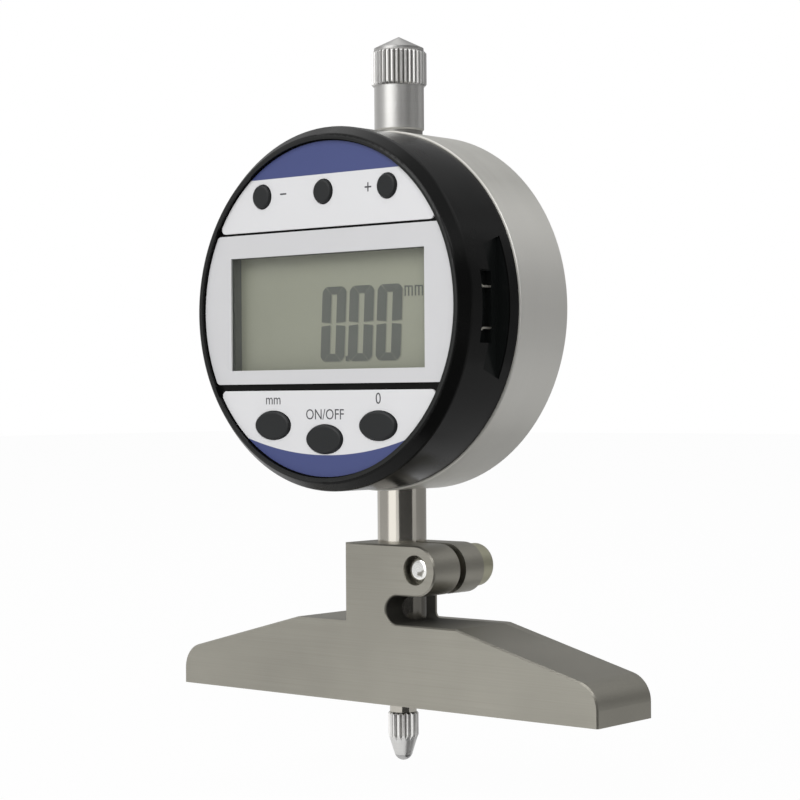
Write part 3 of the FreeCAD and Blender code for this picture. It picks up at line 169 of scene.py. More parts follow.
def make_straight_brushing():
    """Fine scratches along one direction, with slow clouds over them."""
    graph, start, end = new_group(
        "straight_brushing",
        [("Position", "NodeSocketVector", (0, 0, 0)), ("Stretch", "NodeSocketVector", (40, 4000, 4000)),
         ("Cloud Scale", "NodeSocketFloat", 60.0)],
        [("Scratches", "NodeSocketFloat"), ("Clouds", "NodeSocketFloat")],
    )
    scaled = graph.add("ShaderNodeVectorMath", operation="MULTIPLY")
    graph.feed(scaled.inputs[0], start.outputs["Position"])
    graph.feed(scaled.inputs[1], start.outputs["Stretch"])
    fine = graph.noise(scaled.outputs[0], 1.0, detail=4.0, roughness=0.7)
    clouds = graph.noise(start.outputs["Position"], start.outputs["Cloud Scale"], 2.0)
    graph.feed(end.inputs["Scratches"], fine)
    graph.feed(end.inputs["Clouds"], clouds)
    return graph.tree


def make_turning_marks():
    """Fine rings left by a lathe, about an axis through the given centre."""
    graph, start, end = new_group(
        "turning_marks",
        [("Position", "NodeSocketVector", (0, 0, 0)), ("Centre", "NodeSocketVector", (0, 0, 0)),
         ("Along Axis", "NodeSocketVector", (0, 0, 1)), ("Pitch Scale", "NodeSocketFloat", 5000.0)],
        [("Rings", "NodeSocketFloat"), ("Clouds", "NodeSocketFloat")],
    )
    away = graph.add("ShaderNodeVectorMath", operation="SUBTRACT")
    graph.feed(away.inputs[0], start.outputs["Position"])
    graph.feed(away.inputs[1], start.outputs["Centre"])
    along = graph.add("ShaderNodeVectorMath", operation="DOT_PRODUCT")
    graph.feed(along.inputs[0], away.outputs[0])
    graph.feed(along.inputs[1], start.outputs["Along Axis"])
    on_axis = graph.add("ShaderNodeVectorMath", operation="SCALE")
    graph.feed(on_axis.inputs[0], start.outputs["Along Axis"])
    graph.feed(on_axis.inputs["Scale"], along.outputs["Value"])
    side = graph.add("ShaderNodeVectorMath", operation="SUBTRACT")
    graph.feed(side.inputs[0], away.outputs[0])
    graph.feed(side.inputs[1], on_axis.outputs[0])
    radius = graph.add("ShaderNodeVectorMath", operation="LENGTH")
    graph.feed(radius.inputs[0], side.outputs[0])
    spun = graph.join(radius.outputs["Value"], along.outputs["Value"], 0.0)
    rings = graph.noise(spun, start.outputs["Pitch Scale"], detail=2.0, roughness=0.7)
    graph.feed(end.inputs["Rings"], rings)
    graph.feed(end.inputs["Clouds"], graph.noise(start.outputs["Position"], 90.0, 2.0))
    return graph.tree


def make_fine_grain():
    """Moulding grain and slow unevenness of plastics, paints and rubber."""
    graph, start, end = new_group(
        "fine_grain",
        [("Position", "NodeSocketVector", (0, 0, 0)), ("Grain Scale", "NodeSocketFloat", 3500.0),
         ("Cloud Scale", "NodeSocketFloat", 120.0)],
        [("Grain", "NodeSocketFloat"), ("Clouds", "NodeSocketFloat")],
    )
    grain = graph.noise(start.outputs["Position"], start.outputs["Grain Scale"], 2.0)
    clouds = graph.noise(start.outputs["Position"], start.outputs["Cloud Scale"], 2.0)
    graph.feed(end.inputs["Grain"], grain)
    graph.feed(end.inputs["Clouds"], clouds)
    return graph.tree


STRAIGHT = make_straight_brushing()
TURNED = make_turning_marks()
GRAIN = make_fine_grain()


def new_material(name, **constants):
    material = bpy.data.materials.new(name)
    material.use_nodes = True
    material.node_tree.nodes.clear()
    graph = Graph(material.node_tree)
    out = graph.add("ShaderNodeOutputMaterial")
    shader = graph.add("ShaderNodeBsdfPrincipled")
    graph.feed(out.inputs["Surface"], shader.outputs[0])
    for socket, value in constants.items():
        socket_value(shader, socket.replace("_", " "), value)
    return material, graph, shader


def bump(graph, shader, height, strength, distance):
    node = graph.add("ShaderNodeBump")
    socket_value(node, "Strength", strength)
    socket_value(node, "Distance", distance)
    graph.feed(node.inputs["Height"], height)
    graph.feed(shader.inputs["Normal"], node.outputs[0])


def shade(color, factor):
    return tuple(c * factor for c in color[:3]) + (1.0,)


def metal(name, color, roughness, marks, contrast=0.12, depth=0.15, spread=0.08, streak=0.14):
    """Bare metal: marks gives (fine pattern, clouds) sockets, contrast is for
    the clouds and streak for how much darker the marks are."""
    material, graph, shader = new_material(name, Metallic=1.0)
    fine, clouds = marks(graph)
    darker = graph.mix(clouds, shade(color, 1 - contrast), shade(color, 1 + contrast))
    streak_tint = shade((1, 0.995, 0.985), 1 - streak)
    streaked = graph.mix(graph.stretch(fine, 0.3, 0.7), streak_tint, (1, 1, 1, 1))
    tinted = graph.mix(1.0, darker, streaked, "MULTIPLY")
    uneven = graph.stretch(fine, 0.25, 0.75, roughness - spread, roughness + spread)
    graph.feed(shader.inputs["Base Color"], tinted)
    graph.feed(shader.inputs["Roughness"], uneven)
    bump(graph, shader, fine, depth, 0.02 * MM)
    return material


def brushed(stretch):
    def marks(graph):
        outputs = graph.use(STRAIGHT, Position=graph.place(), Stretch=stretch)
        return outputs["Scratches"], outputs["Clouds"]
    return marks


def turned(centre, axis):
    def marks(graph):
        outputs = graph.use(TURNED, Position=graph.place(), Centre=centre, Along_Axis=axis)
        return outputs["Rings"], outputs["Clouds"]
    return marks


def moulded(name, color, roughness, grain=0.1, contrast=0.1, spread=0.06, **constants):
    """Plastic, rubber or paint with fine grain and slight unevenness."""
    material, graph, shader = new_material(name, **constants)
    outputs = graph.use(GRAIN, Position=graph.place())
    graph.feed(shader.inputs["Base Color"],
               graph.mix(outputs["Clouds"], shade(color, 1 - contrast), shade(color, 1 + contrast)))
    graph.feed(shader.inputs["Roughness"],
               graph.stretch(outputs["Clouds"], 0.3, 0.7, roughness - spread, roughness + spread))
    bump(graph, shader, outputs["Grain"], grain, 0.02 * MM)
    return material


def wear(node_name, material):
    """Give a CAD node this material."""
    for slot in nodes[node_name].material_slots:
        slot.material = material


# Finishes, with painted light and shade

def screw_finish():
    """Nickel with a faint yellow cast, polished bright at the free end, where dark blotches are painted
    reflection.
    """
    material, graph, shader = new_material("nickel_screw_steel", Metallic=1.0)
    position = graph.place()
    rings = graph.use(TURNED, Position=position, Centre=SCREW_CENTRE, Along_Axis=(0, 1, 0),
                      Pitch_Scale=4000.0)
    free_end = graph.stretch(graph.split(position)[1], -4.6 * MM, -4.4 * MM, 1.0, 0.0)
    plated = graph.mix(rings["Clouds"], (0.45, 0.44, 0.33, 1), (0.54, 0.53, 0.41, 1))
    # painted reflection: dark blotches on the bright free end
    reflection_blotches = graph.noise(position, 560.0, detail=1.0)
    painted_reflection_end = graph.mix(graph.stretch(reflection_blotches, 0.31, 0.39), (0.34, 0.33, 0.29, 1), (1.0, 1.0, 0.97, 1))
    graph.feed(shader.inputs["Base Color"], graph.mix(free_end, plated, painted_reflection_end))
    turned_roughness = graph.stretch(rings["Rings"], 0.3, 0.7, 0.36, 0.44)
    polish = graph.math("MULTIPLY", free_end, 0.26)
    graph.feed(shader.inputs["Roughness"], graph.math("SUBTRACT", turned_roughness, polish))
    bump(graph, shader, rings["Rings"], 0.2, 0.02 * MM)
    return material


def shader_of(material):
    return next(n for n in material.node_tree.nodes if n.type == "BSDF_PRINCIPLED")


def between(graph, value, low, high, blur):
    """One where the value lies between the two limits, nought outside."""
    rise = graph.stretch(value, low - blur, low + blur)
    fall = graph.stretch(value, high - blur, high + blur, 1.0, 0.0)
    return graph.math("MULTIPLY", rise, fall)


def recolour(material, mask, color):
    """Blend the material's colour towards this one where the mask is one."""
    graph = Graph(material.node_tree)
    target = shader_of(material).inputs["Base Color"]
    before = target.links[0].from_socket
    graph.feed(target, graph.mix(mask(graph), before, color + (1.0,)))


def reroughen(material, mask, roughness):
    graph = Graph(material.node_tree)
    target = shader_of(material).inputs["Roughness"]
    before = target.links[0].from_socket
    share = mask(graph)
    kept = graph.math("MULTIPLY", before, graph.math("SUBTRACT", 1.0, share))
    graph.feed(target, graph.math("ADD", kept, graph.math("MULTIPLY", share, roughness)))


def axis_distance(graph, a, b):
    """Distance from an axis, from the two offsets across it."""
    squares = graph.math("ADD", graph.math("MULTIPLY", a, a), graph.math("MULTIPLY", b, b))
    return graph.math("SQRT", squares)


def flute_highlight_and_shade(material, heights, radii, bright, floor_shade):
    """Flutes round the stem axis: painted shade at their floors, painted
    highlight on the ridges between them."""
    def shaded_floors(graph):
        x, y, z = graph.split(graph.place())
        low = graph.stretch(axis_distance(graph, x, y), *radii, 1.0, 0.0)
        return graph.math("MULTIPLY", low, between(graph, z, *heights, 0.05 * MM))

    def grip(graph):
        return between(graph, graph.split(graph.place())[2], *heights, 0.05 * MM)

    # painted highlight over the whole grip, then painted shade in the flute floors
    recolour(material, grip, (bright, 0.99 * bright, 0.97 * bright))
    recolour(material, shaded_floors, (floor_shade, 0.98 * floor_shade, 0.945 * floor_shade))


def rough_slot_with_painted_shade(graph):
    """Painted shade in and beside the slot below the ear, fading out to the right; the cuts there are also
    rough.
    """
    x, y, z = graph.split(graph.place())
    blur = 0.1 * MM
    right_fade = graph.stretch(x, 6 * MM, 26 * MM, 1.0, 0.0)
    along = graph.math("MULTIPLY", graph.stretch(x, SLOT_LEFT - blur, SLOT_LEFT + blur), right_fade)
    inside = graph.math("MULTIPLY", along, between(graph, y, BASE_FRONT + 0.12 * MM, SLOT_BACK, blur))
    below = graph.stretch(z, SLOT_ROOF - blur / 2, SLOT_ROOF + blur / 2, 1.0, 0.0)
    above = graph.stretch(z, SLOT_FLOOR - 5 * blur, SLOT_FLOOR + 5 * blur)
    low = graph.math("MULTIPLY", below, above)
    return graph.math("MULTIPLY", graph.math("MULTIPLY", inside, low), 0.85)


def painted_recess_shade(graph):
    """Painted shade on the wall and floor of the counterbore round the screw's free end, not the face in
    front.
    """
    x, y, z = graph.split(graph.place())
    sideways = graph.math("SUBTRACT", x, SCREW_CENTRE[0])
    upwards = graph.math("SUBTRACT", z, SCREW_CENTRE[2])
    blur = 0.04 * MM
    away = axis_distance(graph, sideways, upwards)
    near = graph.stretch(away, RECESS_RADIUS - blur, RECESS_RADIUS + blur, 1.0, 0.0)
    behind = graph.stretch(y, BASE_FRONT + 0.15 * MM, BASE_FRONT + 0.35 * MM)
    return graph.math("MULTIPLY", near, behind)


def painted_stem_shade(graph):
    """Painted shade on the lower end of the stem, up to the roof of the relief slot."""
    height = graph.split(graph.place())[2]
    return graph.stretch(height, SLOT_ROOF - 0.35 * MM, SLOT_ROOF + 0.15 * MM, 1.0, 0.0)


def painted_cone_shade(graph):
    return graph.stretch(graph.split(graph.place())[2], CAP_GRIP[1], CAP_GRIP[1] + 0.1 * MM)


def painted_side_light(graph):
    """Painted light on the drum's right side, brighter than its top."""
    return graph.stretch(graph.split(graph.place())[0], 21 * MM, 28 * MM)


def front_rim(graph):
    """The thin bevel round the front of the case."""
    depth = graph.split(graph.place())[1]
    return graph.stretch(depth, CASE_FRONT_EDGE - 0.01 * MM, CASE_FRONT_EDGE + 0.01 * MM, 1.0, 0.0)


def painted_wall_light(graph):
    """Painted light on the housing's walls round the display."""
    x, y, z = graph.split(graph.place())
    sideways = between(graph, x, -WINDOW_HALF_WIDTH, WINDOW_HALF_WIDTH, 0.02 * MM)
    upwards = between(graph, z, WINDOW_BOTTOM, WINDOW_TOP, 0.02 * MM)
    return graph.math("MULTIPLY", sideways, upwards)


def painted_rim_light(graph):
    """Painted light on the flat front of the housing's rim."""
    depth = graph.split(graph.place())[1]
    return graph.stretch(depth, RIM_FRONT - 0.025 * MM, RIM_FRONT + 0.025 * MM, 1.0, 0.0)


def side_recess(graph):
    """Walls and floor of the recess in the housing's side."""
    x, y, z = graph.split(graph.place())
    from_axis = axis_distance(graph, x, graph.math("SUBTRACT", z, DIAL_HEIGHT))
    below = graph.stretch(from_axis, PORT_RADIUS - 0.1 * MM, PORT_RADIUS + 0.1 * MM, 1.0, 0.0)
    return graph.math("MULTIPLY", below, between(graph, y, *PORT_DEPTH, 0.02 * MM))


def dress_metals():
    base = metal("ground_base_steel", (0.40, 0.386, 0.338), 0.38, brushed((30, 2500, 5000)),
                 contrast=0.14, depth=0.12, streak=0.11)
    # painted shade in the slot and on the top beside the hub, where the cuts are also rougher
    recolour(base, rough_slot_with_painted_shade, (0.03, 0.029, 0.025))
    reroughen(base, rough_slot_with_painted_shade, 0.7)
    # painted shade in the counterbore round the screw's free end
    recolour(base, painted_recess_shade, (0.2, 0.192, 0.165))
    wear("depth_base", base)
    bright = metal("bright_stem_steel", (0.58, 0.555, 0.50), 0.12, turned(*STEM_AXIS),
                   contrast=0.05, depth=0.01, spread=0.03, streak=0.02)
    for name in ("spindle", "guide_rod"):
        wear(name, bright)
    stem = bright.copy()
    stem.name = "stem_steel"
    # painted shade on the stem's lower end inside the slot
    recolour(stem, painted_stem_shade, (0.2, 0.19, 0.17))
    wear("stem", stem)
    wear("top_neck", metal("neck_steel", (0.3, 0.295, 0.28), 0.4, turned(*STEM_AXIS)))
    point = metal("contact_point_steel", (0.84, 0.84, 0.83), 0.34, turned(*STEM_AXIS),
                  depth=0.02, streak=0.05)
    flute_highlight_and_shade(point, POINT_GRIP, POINT_FLUTE, bright=0.98, floor_shade=0.22)
    wear("contact_point", point)
    wear("contact_ball", metal("polished_ball_steel", (0.6, 0.6, 0.6), 0.24, turned(*STEM_AXIS),
                               contrast=0.05, depth=0.02, spread=0.03))
    cap = metal("cap_steel", (0.62, 0.615, 0.60), 0.36, turned(*STEM_AXIS),
                contrast=0.04, depth=0.01, spread=0.04, streak=0.03)
    # painted shade: the cone above the grip is darker than the rest of the cap
    recolour(cap, painted_cone_shade, (0.5, 0.495, 0.485))
    flute_highlight_and_shade(cap, CAP_GRIP, CAP_FLUTE, bright=0.82, floor_shade=0.24)
    wear("dust_cap", cap)
    case = metal("case_steel", (0.65, 0.644, 0.61), 0.5, turned(*DIAL_AXIS),
                 contrast=0.09, depth=0.03, streak=0.05)
    # painted light on the case's right side
    recolour(case, painted_side_light, (0.84, 0.83, 0.79))
    recolour(case, front_rim, (0.5, 0.49, 0.46))
    reroughen(case, front_rim, 0.75)
    wear("rear_case", case)
    wear("back_cover", metal("cover_steel", (0.50, 0.495, 0.475), 0.4, turned(*DIAL_AXIS), depth=0.06))
    wear("clamp_screw", screw_finish())
    small = metal("small_screw_steel", (0.55, 0.55, 0.55), 0.3, turned(*DIAL_AXIS))
    for name in ("cover_screws", "housing_screws", "board_screws", "carrier_screw"):
        wear(name, small)
    bronze = metal("bush_bronze", (0.66, 0.47, 0.26), 0.35, turned(*STEM_AXIS))
    wear("lower_bush", bronze)
    wear("upper_bush", bronze)
    wear("return_spring", metal("spring_wire_steel", (0.5, 0.5, 0.5), 0.3, brushed((3000, 3000, 300))))
    wear("coin_cell", metal("cell_steel", (0.7, 0.7, 0.7), 0.25, turned(*CELL_AXIS)))
    wear("contact_clips", metal("clip_metal", (0.95, 0.92, 0.82), 0.35, brushed((300, 4000, 4000))))


def dress_plastics():
    housing = moulded("black_housing", (0.003, 0.0031, 0.003), 0.24, grain=0.05, Specular_IOR_Level=0.15)
    # painted light: the rim's front is lighter than the rest of the black housing
    recolour(housing, painted_rim_light, (0.02, 0.0205, 0.02))
    # painted light: the black walls round the display are made grey
    recolour(housing, painted_wall_light, (0.12, 0.127, 0.115))
    recolour(housing, side_recess, (0.007, 0.008, 0.0078))
    wear("front_housing", housing)
    key = moulded("key_rubber", (0.0105, 0.0115, 0.012), 0.48, grain=0.25, Specular_IOR_Level=0.3)
    for name in nodes:
        if name.startswith("key_"):
            wear(name, key)
    rubber = moulded("contact_rubber", (0.05, 0.05, 0.055), 0.6, grain=0.3)
    for name in ("contact_strips", "upper_key_pad", "lower_key_pad"):
        wear(name, rubber)
    inner = moulded("inner_plastic", (0.05, 0.05, 0.055), 0.5)
    wear("scale_carrier", inner)
    wear("cell_holder", inner)
    laminate = moulded("board_laminate", (0.02, 0.12, 0.06), 0.35)
    for name in ("circuit_board", "sensor_board", "scale_strip"):
        wear(name, laminate)


def printed_panel(name, color, blue_mask=None):
    """Silver paint, with the blue field where the mask is one."""
    material, graph, shader = new_material(name, Metallic=0.0)
    position = graph.place()
    outputs = graph.use(GRAIN, Position=position, Grain_Scale=6000.0, Cloud_Scale=40.0)
    tone = graph.mix(outputs["Clouds"], shade(color, 0.97), shade(color, 1.03))
    if blue_mask:
        blue = graph.mix(outputs["Clouds"], (0.038, 0.052, 0.165, 1), (0.046, 0.062, 0.19, 1))
        tone = graph.mix(blue_mask(graph, position), tone, blue)
    graph.feed(shader.inputs["Base Color"], tone)
    graph.feed(shader.inputs["Roughness"], graph.stretch(outputs["Clouds"], 0.3, 0.7, 0.42, 0.5))
    bump(graph, shader, outputs["Grain"], 0.08, 0.01 * MM)
    return material


def above_line(height):
    def mask(graph, position):
        line = DIAL_HEIGHT + height
        return graph.stretch(graph.split(position)[2], line - PRINT_EDGE, line + PRINT_EDGE)
    return mask


def outside_arc(height, radius):
    """Outside a large circle whose centre is this far above the dial's."""
    def mask(graph, position):
        x, y, z = graph.split(position)
        up = graph.math("SUBTRACT", z, DIAL_HEIGHT + height)
        return graph.stretch(axis_distance(graph, x, up), radius - PRINT_EDGE, radius + PRINT_EDGE)
    return mask


def display_finish():
    """Grey green liquid crystal glass, with painted light and shade making it a little lighter to the right.
    """
    material, graph, shader = new_material("display_glass_grey", Metallic=0.0, Roughness=0.35)
    position = graph.place()
    clouds = graph.use(GRAIN, Position=position, Cloud_Scale=70.0)["Clouds"]
    # painted light and shade: darker at the left, lighter at the right
    painted_light_rightwards = graph.stretch(graph.split(position)[0], -20 * MM, 20 * MM)
    tone = graph.mix(painted_light_rightwards, (0.225, 0.232, 0.178, 1), (0.26, 0.268, 0.206, 1))
    duller = graph.mix(0.5, tone, (0.235, 0.245, 0.2, 1))
    graph.feed(shader.inputs["Base Color"], graph.mix(clouds, tone, duller))
    return material


def dress_front():
    silver = (0.66, 0.66, 0.67)
    wear("top_panel", printed_panel("top_panel_print", silver, above_line(21.13 * MM)))
    wear("window_panel", printed_panel("window_panel_print", (0.57, 0.57, 0.58)))
    wear("bottom_panel", printed_panel("bottom_panel_print", silver, outside_arc(32.5 * MM, 55.4 * MM)))
    wear("display_glass", display_finish())
    glass, graph, shader = new_material("window_glass", Base_Color=(1, 1, 1, 1), Metallic=0.0,
                                        Roughness=0.03, Transmission_Weight=1.0, IOR=1.2)
    wear("display_window", glass)
    # shadow rays pass straight through, so the display behind is lit
    out = next(n for n in glass.node_tree.nodes if n.type == "OUTPUT_MATERIAL")
    clear = graph.add("ShaderNodeBsdfTransparent")
    mixed = graph.add("ShaderNodeMixShader")
    path = graph.add("ShaderNodeLightPath")
    through = graph.math("MAXIMUM", path.outputs["Is Shadow Ray"], path.outputs["Is Diffuse Ray"])
    graph.feed(mixed.inputs[0], through)
    graph.feed(mixed.inputs[1], shader.outputs[0])
    graph.feed(mixed.inputs[2], clear.outputs[0])
    graph.feed(out.inputs["Surface"], mixed.outputs[0])


# Pieces of the display and the legends

def clear_selection():
    if bpy.context.object and bpy.context.object.mode != "OBJECT":
        bpy.ops.object.mode_set(mode="OBJECT")
    bpy.ops.object.select_all(action="DESELECT")


def apply_place(piece):
    """Leave the object at the origin, its place in its mesh."""
    clear_selection()
    piece.select_set(True)
    bpy.context.view_layer.objects.active = piece
    bpy.ops.object.transform_apply(location=True, rotation=True, scale=True)


def join(pieces, name):
    clear_selection()
    for piece in pieces:
        piece.select_set(True)
    bpy.context.view_layer.objects.active = pieces[0]
    bpy.ops.object.join()
    joined = bpy.context.object
    joined.name = name
    joined.data.name = name
    return joined


def thicken(piece, depth):
    """Give a flat shape that faces the viewer some thickness."""
    clear_selection()
    piece.select_set(True)
    bpy.context.view_layer.objects.active = piece
    bpy.ops.object.mode_set(mode="EDIT")
    bpy.ops.mesh.select_all(action="SELECT")
    bpy.ops.mesh.extrude_region_move(TRANSFORM_OT_translate={"value": (0, -depth, 0)})
    bpy.ops.mesh.select_all(action="SELECT")
    bpy.ops.mesh.normals_make_consistent(inside=False)
    bpy.ops.object.mode_set(mode="OBJECT")


def copy_of(piece):
    """A copy with a mesh of its own."""
    copy = piece.copy()
    copy.data = piece.data.copy()
    bpy.context.collection.objects.link(copy)
    return copy


def moved_copy(piece, x):
    copy = copy_of(piece)
    copy.location.x = x
    apply_place(copy)
    return copy


def mirrored_copy(piece, x=None, z=None):
    """A copy turned over about an upright or a level line."""
    copy = copy_of(piece)
    if x is not None:
        copy.scale.x = -1
        copy.location.x = 2 * x
    if z is not None:
        copy.scale.z = -1
        copy.location.z = 2 * z
    apply_place(copy)
    return copy


def bar(left, right, bottom, top, y, pulled=()):
    """A flat bar that faces the viewer. Each entry of pulled names a corner by
    its side and its end and gives how far it is pulled in, across and along."""
    clear_selection()
    bpy.ops.mesh.primitive_plane_add(size=1, location=((left + right) / 2, y, (bottom + top) / 2),
                                     rotation=(math.radians(90), 0, 0))
    piece = bpy.context.object
    piece.scale = (right - left, top - bottom, 1)
    apply_place(piece)
    for side, end, across, along in pulled:
        pick_corner(piece, side, end)
        bpy.ops.transform.translate(value=(-side * across, 0, -end * along))
        bpy.ops.object.mode_set(mode="OBJECT")
    return piece


def pick_corner(piece, side, end):
    """Select the corner furthest to that side and end, and stay in edit mode."""
    bpy.ops.object.mode_set(mode="EDIT")
    bpy.ops.mesh.select_all(action="DESELECT")
    bpy.ops.object.mode_set(mode="OBJECT")
    corner = max(piece.data.vertices, key=lambda v: side * v.co.x + end * v.co.z)
    corner.select = True
    bpy.ops.object.mode_set(mode="EDIT")


def pick_nearest(piece, spots):
    """Select the corners nearest to these (x, z) spots, and stay in edit mode."""
    bpy.ops.object.mode_set(mode="EDIT")
    bpy.ops.mesh.select_mode(type="VERT")
    bpy.ops.mesh.select_all(action="DESELECT")
    bpy.ops.object.mode_set(mode="OBJECT")
    for x, z in spots:
        nearest = min(piece.data.vertices, key=lambda v: (v.co.x - x) ** 2 + (v.co.z - z) ** 2)
        nearest.select = True
    bpy.ops.object.mode_set(mode="EDIT")


def add_corner(piece, first, second, spot):
    """Split the edge between two corners and pull the new corner to a spot."""
    pick_nearest(piece, (first, second))
    bpy.ops.mesh.subdivide(number_cuts=1)
    bpy.ops.object.mode_set(mode="OBJECT")
    middle = ((first[0] + second[0]) / 2, (first[1] + second[1]) / 2)
    pick_nearest(piece, (middle,))
    bpy.ops.transform.translate(value=(spot[0] - middle[0], 0, spot[1] - middle[1]))
    bpy.ops.object.mode_set(mode="OBJECT")


STROKE = 1.9 * MM
LYING_STROKE = 1.2 * MM
DIGIT_WIDTH = 5.0 * MM
DIGIT_TOP = DIAL_HEIGHT + 3.55 * MM
DIGIT_BOTTOM = DIAL_HEIGHT - 8.2 * MM
DIGIT_LEFT = -3.0 * MM
DIGIT_PITCH = 5.76 * MM
SLANT = 0.052
JOINT_GAP = 0.06 * MM
WAIST_GAP = 0.17 * MM
CORNER_CUT = 0.75 * MM


def zero_digit(y):
    """A nought of six bars with mitred joints, leaning a little to the right."""
    right = DIGIT_LEFT + DIGIT_WIDTH
    middle = (DIGIT_TOP + DIGIT_BOTTOM) / 2
    lying = bar(DIGIT_LEFT + CORNER_CUT, right - CORNER_CUT, DIGIT_TOP - LYING_STROKE, DIGIT_TOP, y,
                [(-1, -1, STROKE - CORNER_CUT, 0), (1, -1, STROKE - CORNER_CUT, 0)])
    standing = bar(DIGIT_LEFT, DIGIT_LEFT + STROKE, middle + WAIST_GAP, DIGIT_TOP - CORNER_CUT, y,
                   [(1, 1, 0, LYING_STROKE - CORNER_CUT + JOINT_GAP), (-1, -1, 0, WAIST_GAP)])
    add_corner(standing, (DIGIT_LEFT, DIGIT_TOP - CORNER_CUT),
               (DIGIT_LEFT + STROKE, DIGIT_TOP - LYING_STROKE - JOINT_GAP),
               (DIGIT_LEFT + CORNER_CUT - JOINT_GAP * 2, DIGIT_TOP - JOINT_GAP))
    upper = join([lying, standing, mirrored_copy(standing, x=(DIGIT_LEFT + right) / 2)], "display_upper_half")
    digit = join([upper, mirrored_copy(upper, z=middle)], "display_nought")
    for vertex in digit.data.vertices:
        vertex.co.x += (vertex.co.z - DIGIT_BOTTOM) * SLANT
    return digit


def unit_sign(y):
    """The unit beside the digits: two letters of three legs under a bar."""
    left, bottom, top = 14.5 * MM, DIAL_HEIGHT + 1.55 * MM, DIAL_HEIGHT + 3.2 * MM
    leg, spacing = 0.26 * MM, 0.7 * MM
    head = bar(left, left + spacing * 2 + leg, top - leg, top, y, [(1, 1, leg / 3, leg / 3)])
    stem = bar(left, left + leg, bottom, top - leg, y)
    legs = [stem, moved_copy(stem, spacing), moved_copy(stem, spacing * 2)]
    letter = join([head, *legs], "display_letter")
    return join([letter, moved_copy(letter, spacing * 2.9)], "display_unit")


def build_display():
    y = GLASS_FACE - 0.01 * MM
    first = zero_digit(y)
    copies = [moved_copy(first, DIGIT_PITCH * place) for place in (1, 2)]
    point = bar(2.35 * MM, 3.05 * MM, DIGIT_BOTTOM, DIGIT_BOTTOM + 0.85 * MM, y,
                [(1, 1, 0.1 * MM, 0.1 * MM)])
    digits = join([first, *copies, point], "display_digits")
    cast = copy_of(digits)
    cast.name = "display_digit_shadow"
    cast.location = (0.24 * MM, 0.006 * MM, -0.14 * MM)
    apply_place(cast)
    thicken(cast, 0.002 * MM)
    faint = moulded("display_shadow", (0.172, 0.178, 0.142), 0.35, grain=0.02, contrast=0.06)
    paint(cast, faint)
    ink = moulded("display_ink", (0.085, 0.092, 0.08), 0.35, grain=0.03, contrast=0.08)
    for piece in (digits, unit_sign(y)):
        thicken(piece, 0.02 * MM)
        paint(piece, ink)


def paint(piece, material):
    piece.data.materials.clear()
    piece.data.materials.append(material)
    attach(piece, "head")


def lettering(name, text, middle, bottom, size, y):
    """Flat words that face the viewer, made a mesh."""
    clear_selection()
    bpy.ops.object.text_add(location=(middle, y, bottom), rotation=(math.radians(90), 0, 0))
    words = bpy.context.object
    words.data.body = text
    words.data.size = size
    words.data.extrude = 0.01 * MM
    words.data.resolution_u = 3
    words.data.align_x = "CENTER"
    words.scale = (0.95, 1, 1)
    bpy.ops.object.convert(target="MESH")
    piece = bpy.context.object
    piece.name = name
    apply_place(piece)
    return piece


def build_legends():
    ink = moulded("legend_ink", (0.05, 0.05, 0.055), 0.5, grain=0.05)
    y = PANEL_FACE - 0.005 * MM
    words = [
        ("legend_minus", "−", -8.6, 17.5, 3.0),
        ("legend_plus", "+", 9.3, 17.4, 3.0),
        ("legend_power", "ON/OFF", 0.0, -17.3, 2.35),
        ("legend_zero", "0", 11.1, -14.9, 2.5),
        ("legend_unit", "mm", -11.1, -14.9, 2.35),
    ]
    for name, text, x, height, size in words:
        piece = lettering(name, text, x * MM, DIAL_HEIGHT + height * MM, size * MM, y)
        paint(piece, ink)


# Stage, light and camera

def build_floor():
    clear_selection()
    bpy.ops.mesh.primitive_plane_add(size=6, location=(0, 0, FLOOR_HEIGHT))
    floor = bpy.context.object
    floor.name = "floor"
    material = bpy.data.materials.new("floor_white")
    material.use_nodes = True
    material.node_tree.nodes.clear()
    graph = Graph(material.node_tree)
    out = graph.add("ShaderNodeOutputMaterial")
    matt = graph.add("ShaderNodeBsdfDiffuse")
    socket_value(matt, "Color", (0.8, 0.8, 0.8, 1))
    glow = graph.add("ShaderNodeEmission")
    path = graph.add("ShaderNodeLightPath")
    mixed = graph.add("ShaderNodeMixShader")
    direct = graph.math("MAXIMUM", path.outputs["Is Camera Ray"], path.outputs["Is Transmission Ray"])
    mirrored = graph.math("MULTIPLY", path.outputs["Is Glossy Ray"], 0.4)
    seen = graph.math("MAXIMUM", graph.math("MULTIPLY", direct, 0.97), mirrored)
    graph.feed(mixed.inputs[0], seen)
    graph.feed(mixed.inputs[1], matt.outputs[0])
    graph.feed(mixed.inputs[2], glow.outputs[0])
    graph.feed(out.inputs["Surface"], mixed.outputs[0])
    floor.data.materials.append(material)


